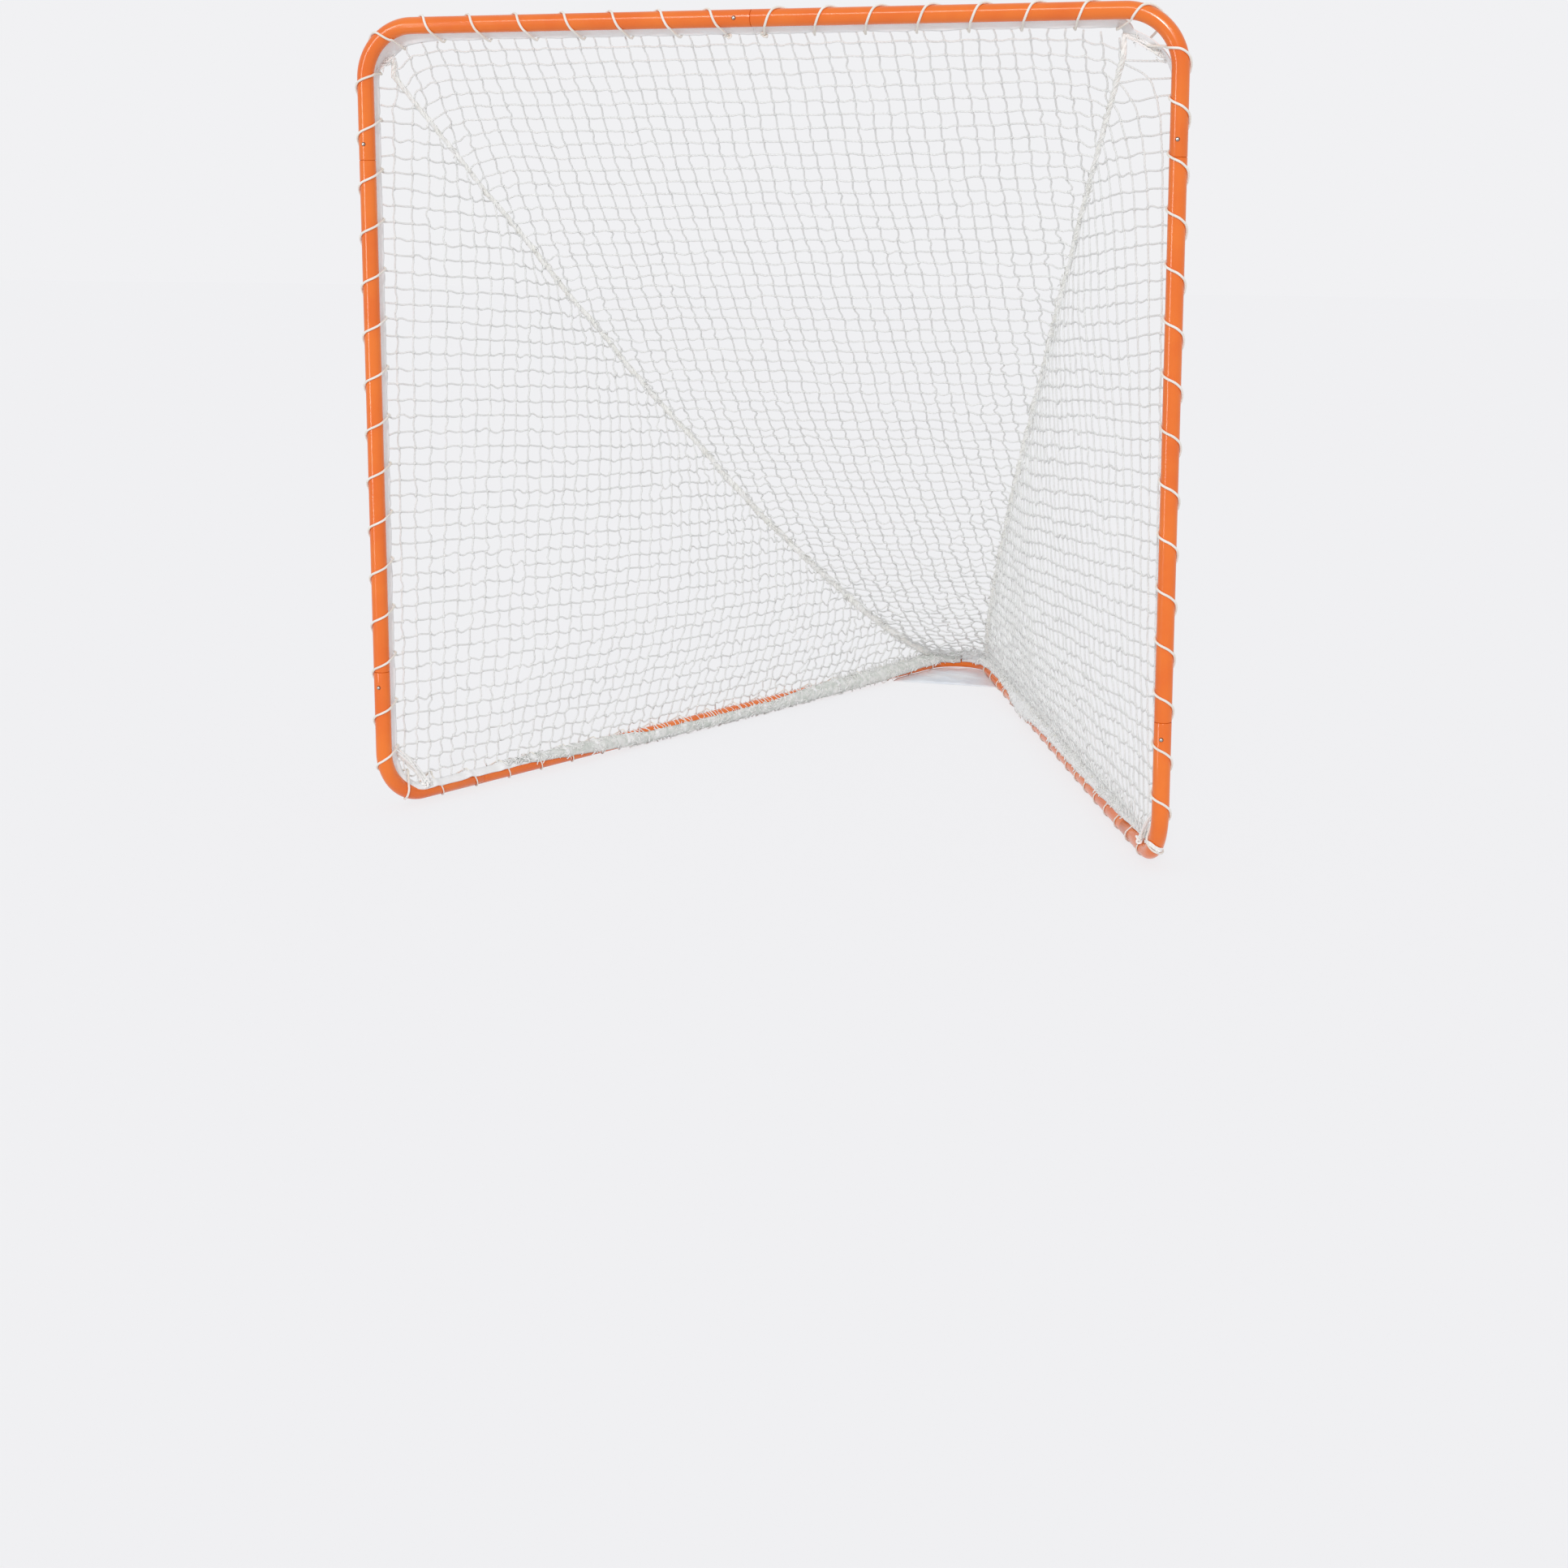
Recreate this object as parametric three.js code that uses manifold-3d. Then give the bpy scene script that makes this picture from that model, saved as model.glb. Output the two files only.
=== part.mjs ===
// Lacrosse goal: a frame of nine steel tubes joined by spring buttons, and a three-panel net
// that two cords lace to it. Millimetres, +Z up, +X to the right of someone facing the mouth,
// +Y towards the back. The origin is on the ground, under the middle of the whole goal.
import * as THREE from "three";
import { mergeVertices } from "three/addons/utils/BufferGeometryUtils.js";
import Module from "manifold-3d";

const wasm = await Module();
wasm.setup();

// Frame
const mouthWidth = 1829;
const mouthHeight = 1829;
const goalDepth = 2134;
const tubeDiameter = 38.1;
const tubeWall = 1.2;
const cornerBendRadius = 119;
const apexBendRadius = 100;
const upperJointDrop = 301;
const lowerJointHeight = 343;
const frontRailJoint = 311;
const rearRailJointSetback = 355;
const plugLength = 70;
const plugClearance = 0.65;
const swageLength = 12;
const seamGap = 0.3;

// Spring buttons
const buttonDiameter = 8;
const buttonHoleDiameter = 9.5;
const buttonProud = 3.5;
const buttonDomeHeight = 3.2;
const buttonSetback = 36;
const springWidth = 8;
const springThickness = 0.8;
const springRollRadius = 2;
const springPivotSetback = 12;
const springPivotHeight = 8;
const springArmOverhang = 5;
const springGap = 0.4;
const springSeatGap = 0.3;
const armSeatGap = 1.2;

// Net, edge tape, seam cords, lacing and ground panel
const meshSize = 38.1;
const latticeMeshes = 5;
const strandWidth = 5;
const strandThickness = 3;
const tapeWidth = 22;
const tapeThickness = 1.5;
const fabricGap = 0.5;
const cordGap = 0.3;
const strandEndGap = 0.9;
const seamCordDiameter = 7;
const seamSag = 215;
const seamBowInward = 110;
const backNetAngle = (52 * Math.PI) / 180;
const lacingDiameter = 5;
const lacingPitchMeshes = 3;
const lacingTurnRadius = 25.4;
const lacingCrossing = 5;
const lacingPassGap = 0.75;
const lacingButtonGap = 4;
const leftLacingStart = 60;
const rightLacingStart = 19;
const lacingEndSetback = 30;
const groundPanelReach = 245;
const groundPanelThickness = 1.2;
const groundPanelEdge = 4.8;

// Fineness and shares
const tubeSides = 16;
const bendSteps = 8;
const buttonSides = 12;
const domeSteps = 3;
const cordSides = 4;
const seamCordSides = 6;
const seamCordSteps = 16;
const panelArcSteps = 8;
const halvings = 30;
const gapSamplesPerStep = 8;
const weldTolerance = 1e-4;
const slopeStep = 1;
const seamSagSkewShare = -0.3;
const seamBowSkewShare = 0.4;
const bellyPower = 1.5;
const riseFadePower = 6;
const riseSidePower = 20;
const pressedShare = 0.1;
const turnAngleShares = [0.2, 0.35, 0.5, 0.65, 0.8];
const turnAdvanceShares = [0.12, 0.2, 0.28, 0.42, 0.66];
const crossingAdvanceShare = 0.02;

// What follows from them
const tubeRadius = tubeDiameter / 2;
const boreRadius = tubeRadius - tubeWall;
const plugRadius = boreRadius - plugClearance;
const plugBoreRadius = plugRadius - tubeWall;
const lacingRadius = lacingDiameter / 2;
const seamCordRadius = seamCordDiameter / 2;
const lacingPitch = lacingPitchMeshes * meshSize;
const latticePitch = latticeMeshes * meshSize;
const railAxisHeight = lacingTurnRadius + lacingRadius - lacingDiameter * pressedShare;
const crossbarAxisHeight = mouthHeight + tubeRadius;
const halfSpan = mouthWidth / 2 + tubeRadius;
const tapeInner = tubeRadius + fabricGap;
const tapeOuter = tapeInner + tapeWidth;
const lacingPass = tapeOuter + lacingPassGap + lacingRadius;
const buttonClearance = buttonDiameter / 2 + lacingRadius + lacingButtonGap;
const strandStart = tapeOuter + strandEndGap;
const seamSeat = tapeOuter + cordGap + seamCordRadius;

// The rails would meet where their rounded apex, extended, comes to a point.
const apexPointDepth = pointDepthForApex(goalDepth, apexBendRadius);

const up = new THREE.Vector3(0, 0, 1);
const front = new THREE.Vector3(0, -1, 0);

// The depth at which straight rails meet, so that the rounded tube between them reaches depth.
function pointDepthForApex(depth, radius) {
  return halved((point) => {
    const halfAngle = Math.atan2(halfSpan, point);
    return point - radius / Math.sin(halfAngle) + radius - depth;
  }, depth, 2 * depth);
}

// Where a rising function crosses zero, found by halving.
function halved(value, low, high) {
  for (let i = 0; i < halvings; i++) {
    const middle = (low + high) / 2;
    if (value(middle) > 0) high = middle;
    else low = middle;
  }
  return (low + high) / 2;
}

// A line of straight stretches joined by circular bends.
class BentRoute {
  constructor(corners, bendRadii) {
    this.stretches = [];
    this.bends = [];
    this.length = 0;
    let from = corners[0];
    bendRadii.forEach((radius, i) => {
      const corner = corners[i + 1];
      const arriving = corner.clone().sub(corners[i]).normalize();
      const leaving = corners[i + 2].clone().sub(corner).normalize();
      const turn = arriving.angleTo(leaving);
      const setback = radius * Math.tan(turn / 2);
      const bendStart = corner.clone().addScaledVector(arriving, -setback);
      this.addStraight(from, bendStart);
      this.addBend(bendStart, arriving, leaving, turn, radius);
      from = corner.clone().addScaledVector(leaving, setback);
    });
    this.addStraight(from, corners.at(-1));
  }

  addStraight(from, to) {
    const tangent = to.clone().sub(from).normalize();
    const at = (run) => ({ point: from.clone().addScaledVector(tangent, run), tangent });
    this.add(from.distanceTo(to), at);
  }

  addBend(from, arriving, leaving, turn, radius) {
    const inward = leaving.clone().addScaledVector(arriving, -Math.cos(turn)).normalize();
    const at = (run) => {
      const angle = run / radius;
      const point = from
        .clone()
        .addScaledVector(arriving, radius * Math.sin(angle))
        .addScaledVector(inward, radius * (1 - Math.cos(angle)));
      const tangent = arriving
        .clone()
        .multiplyScalar(Math.cos(angle))
        .addScaledVector(inward, Math.sin(angle));
      return { point, tangent };
    };
    this.bends.push({ start: this.length, end: this.length + radius * turn });
    this.add(radius * turn, at);
  }

  add(length, at) {
    this.stretches.push({ start: this.length, at });
    this.length += length;
  }

  // The point and direction at a distance along the route; the ends run on straight.
  place(distance) {
    const stretch = this.stretches.findLast((s) => s.start <= distance) ?? this.stretches[0];
    return stretch.at(distance - stretch.start);
  }

  // Distances from one place to another, with steps only where the route bends.
  stations(from, to) {
    const inside = this.bends.flatMap(({ start, end }) => {
      const steps = Array.from({ length: bendSteps + 1 }, (_, i) => start + ((end - start) * i) / bendSteps);
      return steps.filter((s) => s > from && s < to);
    });
    return [from, ...inside, to];
  }
}

// The frame's own line
function lowerCorner(side) {
  return new THREE.Vector3(side * halfSpan, 0, railAxisHeight);
}

function upperCorner(side) {
  return new THREE.Vector3(side * halfSpan, 0, crossbarAxisHeight);
}

const apexPoint = new THREE.Vector3(0, apexPointDepth, railAxisHeight);
const crossbarMiddle = new THREE.Vector3(0, 0, crossbarAxisHeight);

// Half of the frame, from the middle of the crossbar to the rear apex and beyond.
function halfRoute(side) {
  const corners = [crossbarMiddle, upperCorner(side), lowerCorner(side), apexPoint, lowerCorner(-side)];
  return new BentRoute(corners, [cornerBendRadius, cornerBendRadius, apexBendRadius]);
}

const routes = { left: halfRoute(-1), right: halfRoute(1) };
const sideNames = ["left", "right"];
const sideSigns = { left: -1, right: 1 };
const [upperBend, lowerBend, apexBend] = routes.left.bends;
const apexMiddle = (apexBend.start + apexBend.end) / 2;
const upperJoint = upperBend.end - cornerBendRadius + upperJointDrop;
const lowerJoint = lowerBend.start - lowerJointHeight + cornerBendRadius + railAxisHeight;
const frontJoint = lowerBend.end - cornerBendRadius + frontRailJoint;
const rearJoint = apexBend.start - rearRailJointSetback;

// The rail's direction in plan, from its lower corner towards the apex.
function railDirection(side) {
  return apexPoint.clone().sub(lowerCorner(side)).normalize();
}

// The direction in which the net leaves the tube at a distance along the half route.
function netDirection(side, distance) {
  const fromCrossbar = new THREE.Vector3(0, Math.cos(backNetAngle), -Math.sin(backNetAngle));
  const fromPost = railDirection(side);
  if (distance <= upperBend.start) return fromCrossbar;
  if (distance <= upperBend.end) {
    const share = (distance - upperBend.start) / (upperBend.end - upperBend.start);
    return squared(fromCrossbar.lerp(fromPost, share), side, distance);
  }
  if (distance <= lowerBend.start) return fromPost;
  if (distance >= lowerBend.end) return up.clone();
  return squared(up.clone().add(fromPost), side, distance);
}

// A direction turned square to the route.
function squared(direction, side, distance) {
  const { tangent } = routes[side < 0 ? "left" : "right"].place(distance);
  return direction.addScaledVector(tangent, -direction.dot(tangent)).normalize();
}

// Solids and meshes
function solidOf(geometry) {
  const bare = geometry.index ? geometry.toNonIndexed() : geometry.clone();
  bare.deleteAttribute("normal");
  bare.deleteAttribute("uv");
  const welded = mergeVertices(bare, weldTolerance);
  const vertProperties = welded.attributes.position.array;
  const triVerts = new Uint32Array(welded.index.array);
  return new wasm.Manifold(new wasm.Mesh({ numProp: 3, vertProperties, triVerts }));
}

function geometryOf(solid) {
  const { vertProperties, triVerts } = solid.getMesh();
  const geometry = new THREE.BufferGeometry();
  geometry.setAttribute("position", new THREE.BufferAttribute(vertProperties, 3));
  geometry.setIndex(new THREE.BufferAttribute(triVerts, 1));
  geometry.computeVertexNormals();
  return geometry;
}

function cut(geometry, ...tools) {
  return geometryOf(tools.reduce((solid, tool) => solid.subtract(solidOf(tool)), solidOf(geometry)));
}

function joined(geometry, ...others) {
  return geometryOf(others.reduce((solid, other) => solid.add(solidOf(other)), solidOf(geometry)));
}

// Flat faces collected into one closed geometry.
class Faces {
  constructor() {
    this.corners = [];
  }

  triangle(a, b, c) {
    this.corners.push(a, b, c);
  }

  quad(a, b, c, d) {
    this.triangle(a, b, c);
    this.triangle(a, c, d);
  }

  geometry() {
    return mergeVertices(new THREE.BufferGeometry().setFromPoints(this.corners), weldTolerance);
  }
}

// A closed body through rings of four corners each.
function loftOfFours(rings) {
  const faces = new Faces();
  rings.slice(1).forEach((next, i) => {
    const ring = rings[i];
    ring.forEach((corner, k) => {
      const following = (k + 1) % ring.length;
      faces.quad(corner, ring[following], next[following], next[k]);
    });
  });
  const [a, b, c, d] = rings[0];
  faces.quad(d, c, b, a);
  faces.quad(...rings.at(-1));
  return faces.geometry();
}

// A path for cords that steps from one chosen point to the next.
class PointPath extends THREE.Curve {
  constructor(points) {
    super();
    this.points = points;
  }

  getPoint(share) {
    const place = share * (this.points.length - 1);
    const index = Math.min(Math.floor(place), this.points.length - 2);
    return this.points[index].clone().lerp(this.points[index + 1], place - index);
  }

  getPointAt(share) {
    return this.getPoint(share);
  }

  getTangentAt(share) {
    const index = Math.round(share * (this.points.length - 1));
    const before = this.points[Math.max(index - 1, 0)];
    const here = this.points[index];
    const after = this.points[Math.min(index + 1, this.points.length - 1)];
    const arriving = here.clone().sub(before).normalize();
    const leaving = after.clone().sub(here).normalize();
    return arriving.add(leaving).normalize();
  }
}

function cordThrough(points, radius, sides) {
  const section = new THREE.Shape();
  for (let i = 0; i < sides; i++) {
    const angle = (2 * Math.PI * i) / sides;
    const corner = [radius * Math.cos(angle), radius * Math.sin(angle)];
    if (i) section.lineTo(...corner);
    else section.moveTo(...corner);
  }
  const extrudePath = new PointPath(points);
  const steps = points.length - 1;
  return new THREE.ExtrudeGeometry(section, { steps, extrudePath, bevelEnabled: false });
}

// Tubes
// A tube is turned straight, with a socket or a plug at each end, and then bent along its route.
function bentTube(route, from, to, plugAtStart, plugAtEnd, bendNormal) {
  const start = from + seamGap / 2;
  const end = to - seamGap / 2;
  const between = route.stations(start, end).slice(1, -1);
  const profile = [];
  const addPoint = (radius, along) => profile.push(new THREE.Vector2(radius, along));
  if (plugAtStart) addPoint(plugRadius, start - plugLength);
  if (plugAtStart) addPoint(plugRadius, start);
  addPoint(tubeRadius, start);
  between.forEach((along) => addPoint(tubeRadius, along));
  addPoint(tubeRadius, end);
  if (plugAtEnd) addPoint(plugRadius, end);
  if (plugAtEnd) addPoint(plugRadius, end + plugLength);
  if (plugAtEnd) addPoint(plugBoreRadius, end + plugLength);
  if (plugAtEnd) addPoint(plugBoreRadius, end);
  addPoint(boreRadius, plugAtEnd ? end - swageLength : end);
  between.reverse().forEach((along) => addPoint(boreRadius, along));
  addPoint(boreRadius, plugAtStart ? start + swageLength : start);
  if (plugAtStart) addPoint(plugBoreRadius, start);
  if (plugAtStart) addPoint(plugBoreRadius, start - plugLength);
  profile.push(profile[0].clone());
  return bentAlong(new THREE.LatheGeometry(profile, tubeSides), route, bendNormal);
}

// Carries each point of a straight piece from the Y axis to its place along the route.
function bentAlong(geometry, route, bendNormal) {
  const positions = geometry.attributes.position;
  const vertex = new THREE.Vector3();
  for (let i = 0; i < positions.count; i++) {
    vertex.fromBufferAttribute(positions, i);
    const { point, tangent } = route.place(vertex.y);
    const across = tangent.clone().cross(bendNormal);
    point.addScaledVector(across, vertex.x).addScaledVector(bendNormal, vertex.z);
    positions.setXYZ(i, point.x, point.y, point.z);
  }
  return geometry;
}

// The button's hole, drilled through one side of both walls of a joint.
function buttonHole(joint) {
  const length = tubeDiameter - boreRadius;
  const hole = new THREE.CylinderGeometry(buttonHoleDiameter / 2, buttonHoleDiameter / 2, length, buttonSides);
  hole.translate(0, tubeRadius, 0);
  hole.rotateX(Math.PI / 2);
  hole.translate(buttonSetback, 0, 0);
  return hole.applyMatrix4(joint.frame);
}

// Spring-button joints
// Each joint's own frame lies on the seam: X runs into the socket, Z out through the button.
function snapJoint(name, side, seam, socketSign, outward) {
  const { point, tangent } = routes[side].place(seam);
  const along = tangent.clone().multiplyScalar(socketSign);
  const out = outward.clone().addScaledVector(along, -outward.dot(along)).normalize();
  const across = out.clone().cross(along);
  const frame = new THREE.Matrix4().makeBasis(along, across, out).setPosition(point);
  return { name, side, frame, out, buttonDistance: seam + socketSign * buttonSetback };
}

function railOutward(side) {
  return railDirection(sideSigns[side]).cross(up).multiplyScalar(sideSigns[side]);
}

const joints = {
  crossbar: snapJoint("crossbar", "left", 0, 1, front),
};
sideNames.forEach((side) => {
  const outward = railOutward(side);
  joints[side + "_post_top"] = snapJoint(side + "_post_top", side, upperJoint, -1, front);
  joints[side + "_post_bottom"] = snapJoint(side + "_post_bottom", side, lowerJoint, 1, front);
  joints[side + "_rail_front"] = snapJoint(side + "_rail_front", side, frontJoint, -1, outward);
  joints[side + "_rail_rear"] = snapJoint(side + "_rail_rear", side, rearJoint, 1, outward);
});

// A strip's half width leaves this much height in a bore before its edges touch the wall.
const boreFlat = plugBoreRadius * Math.cos(Math.PI / tubeSides);
const stripHeight = Math.sqrt(boreFlat ** 2 - (springWidth / 2) ** 2);
const armTop = stripHeight - armSeatGap;
const pivotX = -springPivotSetback;

// A flat strip of spring steel from near the pivot to a height at its far end.
function springStrip(nearDistance, farX, farHeight) {
  const run = farX - pivotX;
  const rise = farHeight - springPivotHeight;
  const angle = Math.atan2(rise, run);
  const length = Math.hypot(run, rise) - nearDistance;
  const strip = new THREE.BoxGeometry(length, springWidth, springThickness);
  strip.translate(nearDistance + length / 2, 0, 0);
  strip.rotateY(-angle);
  return strip.translate(pivotX, 0, springPivotHeight);
}

function snapButtonGeometry() {
  const armEnd = buttonSetback + springArmOverhang;
  const armHeight = armTop - springThickness / 2;
  const arm = springStrip(springRollRadius + springGap, armEnd, armHeight);
  const armShare = (buttonSetback - pivotX) / (armEnd - pivotX);
  const root = springPivotHeight + (armHeight - springPivotHeight) * armShare;
  const domeTop = tubeRadius + buttonProud;
  const domeBase = domeTop - buttonDomeHeight;
  const radius = buttonDiameter / 2;
  const profile = [new THREE.Vector2(0, root), new THREE.Vector2(radius, root)];
  for (let i = 0; i < domeSteps; i++) {
    const angle = (Math.PI / 2) * (i / domeSteps);
    const height = domeBase + buttonDomeHeight * Math.sin(angle);
    profile.push(new THREE.Vector2(radius * Math.cos(angle), height));
  }
  profile.push(new THREE.Vector2(0, domeTop));
  const dome = new THREE.LatheGeometry(profile, buttonSides);
  dome.rotateX(Math.PI / 2);
  dome.translate(buttonSetback, 0, 0);
  return joined(arm, dome);
}

function snapSpringGeometry() {
  const legEnd = buttonSetback + springArmOverhang;
  const legHeight = -(stripHeight - springSeatGap - springThickness / 2);
  const leg = springStrip(0, legEnd, legHeight);
  const roll = new THREE.CylinderGeometry(springRollRadius, springRollRadius, springWidth, buttonSides);
  roll.translate(pivotX, 0, springPivotHeight);
  return joined(leg, roll);
}

// Seam cords
// Each seam runs from the top of its post to the rear end of its rail, sagging and bowed inward.
const seamTopRun = lacingPass + lacingRadius + cordGap + seamCordRadius;
const seamTopHeight = crossbarAxisHeight - cornerBendRadius;
const seamEndHeight = railAxisHeight + seamSeat;
const railRunAtApex = apexBend.start - lowerBend.end + cornerBendRadius;

function bow(share, skewShare) {
  return 4 * share * (1 - share) * (1 + skewShare * (1 - 2 * share));
}

function seamShare(run, endRun) {
  return Math.min((run - seamTopRun) / (endRun - seamTopRun), 1);
}

function seamHeight(share) {
  const straight = seamTopHeight + (seamEndHeight - seamTopHeight) * share;
  return straight - seamSag * bow(share, seamSagSkewShare);
}

function seamInward(share) {
  return seamBowInward * bow(share, seamBowSkewShare);
}

// One side of the net, with what the lacing's phase and the seam's end decide.
function netSide(name) {
  const sign = sideSigns[name];
  const route = routes[name];
  const lacingStart = sign < 0 ? leftLacingStart : rightLacingStart;
  const railStart = lowerBend.end - cornerBendRadius;
  const betweenTurns = (distance) => {
    const meshes = Math.round((distance - lacingStart - meshSize / 2) / meshSize);
    return lacingStart + (meshes + 1 / 2) * meshSize;
  };
  const endRun = betweenTurns(apexBend.start) - railStart;
  const rail = railDirection(sign);
  const postFoot = lowerCorner(sign).setZ(0);
  // A point of the side panel's plane, pushed inward by the belly of the net.
  const sidePoint = (run, height, inward) =>
    postFoot.clone().addScaledVector(rail, run).setZ(height).setX(
      sign * halfSpan + rail.x * run - sign * inward,
    );
  const seamPoint = (share) =>
    sidePoint(seamTopRun + (endRun - seamTopRun) * share, seamHeight(share), seamInward(share));
  return { name, sign, route, lacingStart, railStart, betweenTurns, endRun, sidePoint, seamPoint };
}

const sides = sideNames.map(netSide);

function seamCordGeometry(side) {
  const points = Array.from({ length: seamCordSteps + 1 }, (_, i) => side.seamPoint(i / seamCordSteps));
  return cordThrough(points, seamCordRadius, seamCordSides);
}

// Net panels
// A coarse net: knots at crossings of columns and rows, strands between them, and strand ends
// that run on to the panel's edge. surface gives a point for each u and v, and its normal.
function latticeGeometry({ columns, rows, rowEnds, columnEnds, surface }) {
  const half = strandWidth / 2;
  const margin = strandWidth + half;
  const faces = new Faces();
  const face = (u, v, sign) => {
    const here = surface(u, v);
    const byU = surface(u + slopeStep, v).sub(surface(u - slopeStep, v));
    const byV = surface(u, v + slopeStep).sub(surface(u, v - slopeStep));
    return here.addScaledVector(byU.cross(byV).normalize(), (sign * strandThickness) / 2);
  };
  const isKnot = (i, j) => {
    if (columns[i] === undefined || rows[j] === undefined) return false;
    const [uLow, uHigh] = rowEnds(rows[j]);
    const [vLow, vHigh] = columnEnds(columns[i]);
    const insideRow = columns[i] - margin > uLow && columns[i] + margin < uHigh;
    return insideRow && rows[j] - margin > vLow && rows[j] + margin < vHigh;
  };
  // A strand from near to far: each holds its left and right corner, as u and v.
  const strand = (near, far, isEnd) => {
    const [nearLeft, nearRight, farLeft, farRight] = [...near, ...far].map(([u, v]) => ({
      above: face(u, v, 1),
      below: face(u, v, -1),
    }));
    faces.quad(nearRight.above, farRight.above, farLeft.above, nearLeft.above);
    faces.quad(nearLeft.below, farLeft.below, farRight.below, nearRight.below);
    faces.quad(nearLeft.below, nearLeft.above, farLeft.above, farLeft.below);
    faces.quad(nearRight.below, farRight.below, farRight.above, nearRight.above);
    if (isEnd) faces.quad(farRight.below, farLeft.below, farLeft.above, farRight.above);
  };
  const knot = (i, j) => {
    const [u, v] = [columns[i], rows[j]];
    const [west, east, south, north] = [u - half, u + half, v - half, v + half];
    const corners = [[west, south], [east, south], [east, north], [west, north]];
    faces.quad(...corners.map(([x, y]) => face(x, y, 1)));
    faces.quad(...corners.reverse().map(([x, y]) => face(x, y, -1)));
    const eastward = [[east, north], [east, south]];
    const northward = [[west, north], [east, north]];
    if (isKnot(i + 1, j)) {
      strand(eastward, [[columns[i + 1] - half, north], [columns[i + 1] - half, south]], false);
    } else strand(eastward, [[rowEnds(north)[1], north], [rowEnds(south)[1], south]], true);
    if (isKnot(i, j + 1)) {
      strand(northward, [[west, rows[j + 1] - half], [east, rows[j + 1] - half]], false);
    } else strand(northward, [[west, columnEnds(west)[1]], [east, columnEnds(east)[1]]], true);
    if (!isKnot(i - 1, j)) {
      strand([[west, south], [west, north]], [[rowEnds(south)[0], south], [rowEnds(north)[0], north]], true);
    }
    if (!isKnot(i, j - 1)) {
      strand([[east, south], [west, south]], [[east, columnEnds(east)[0]], [west, columnEnds(west)[0]]], true);
    }
  };
  columns.forEach((_, i) => {
    rows.forEach((_, j) => {
      if (isKnot(i, j)) knot(i, j);
    });
  });
  return faces.geometry();
}

// Places one lattice pitch apart, from the first to before the last.
function spaced(first, last) {
  const count = Math.max(Math.floor((last - first) / latticePitch) + 1, 0);
  return Array.from({ length: count }, (_, i) => first + i * latticePitch);
}

// u runs along the rail from the post's axis, v is the height above the ground.
function sideNetGeometry(side) {
  const { endRun, railStart, betweenTurns, sidePoint, sign } = side;
  const clearance = seamCordRadius + cordGap;
  const edgeHeight = (run) => {
    const here = seamHeight(seamShare(run, endRun));
    const beyond = seamHeight(seamShare(run + slopeStep, endRun));
    return here - clearance * Math.hypot(1, (beyond - here) / slopeStep);
  };
  const columnEnds = (run) => [railAxisHeight + strandStart, edgeHeight(run)];
  const rowEnds = (height) => [strandStart, halved((run) => height - edgeHeight(run), strandStart, endRun)];
  const surface = (run, height) => {
    const share = seamShare(run, endRun);
    const heightShare = Math.max((height - railAxisHeight) / (seamHeight(share) - railAxisHeight), 0);
    return sidePoint(run, height, seamInward(Math.max(share, 0)) * heightShare ** bellyPower);
  };
  const topRow = upperBend.end + (seamTopHeight - railAxisHeight) - latticePitch;
  const firstRow = seamTopHeight - (betweenTurns(topRow) - upperBend.end);
  const firstColumn = betweenTurns(railStart + latticePitch) - railStart;
  const columns = spaced(firstColumn, endRun);
  const rows = spaced(firstRow, seamTopHeight);
  if (sign > 0) return latticeGeometry({ columns, rows, rowEnds, columnEnds, surface });
  return mirroredLattice({ columns, rows, rowEnds, columnEnds, surface });
}

// The same lattice with u turned round, so that its faces point outward on the other side.
function mirroredLattice({ columns, rows, rowEnds, columnEnds, surface }) {
  return latticeGeometry({
    columns: columns.map((u) => -u).reverse(),
    rows,
    rowEnds: (v) => rowEnds(v).map((u) => -u).reverse(),
    columnEnds: (u) => columnEnds(-u),
    surface: (u, v) => surface(-u, v),
  });
}

// u is the distance to the right of the middle, v the depth behind the mouth.
function backNetGeometry() {
  const [left] = sides;
  const rail = railDirection(1);
  const topDepth = strandStart * Math.cos(backNetAngle);
  const topHeight = crossbarAxisHeight - strandStart * Math.sin(backNetAngle);
  const shareAt = (depth) => seamShare(depth / rail.y, left.endRun);
  const topShare = shareAt(topDepth);
  const rise = topHeight - seamHeight(topShare);
  const seamReach = (depth) => halfSpan + (rail.x * depth) / rail.y - seamInward(shareAt(depth));
  const clearance = (seamCordRadius + cordGap) * Math.hypot(1, rail.x / rail.y);
  const reach = (depth) => seamReach(depth) - clearance;
  const endDepth = left.endRun * rail.y;
  const rowEnds = (depth) => [-reach(depth), reach(depth)];
  const columnEnds = (across) => [
    topDepth,
    Math.min(halved((depth) => Math.abs(across) - reach(depth), topDepth, endDepth), endDepth),
  ];
  const surface = (across, depth) => {
    const share = shareAt(depth);
    const sideShare = Math.min(Math.abs(across) / seamReach(depth), 1);
    const fade = ((1 - share) / (1 - topShare)) ** riseFadePower;
    const lift = rise * fade * (1 - sideShare ** riseSidePower);
    return new THREE.Vector3(across, depth, seamHeight(share) + lift);
  };
  const seamLength = left.seamPoint(0).distanceTo(left.seamPoint(1));
  const rowCount = Math.round(seamLength / latticePitch);
  const rows = Array.from({ length: rowCount - 1 }, (_, j) => {
    const share = (j + 1) / rowCount;
    return (seamTopRun + (left.endRun - seamTopRun) * share) * rail.y;
  });
  const columnCount = Math.floor(reach(topDepth) / latticePitch);
  const columns = Array.from({ length: 2 * columnCount + 1 }, (_, i) => (i - columnCount) * latticePitch);
  return latticeGeometry({ columns, rows, rowEnds, columnEnds, surface });
}

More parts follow.
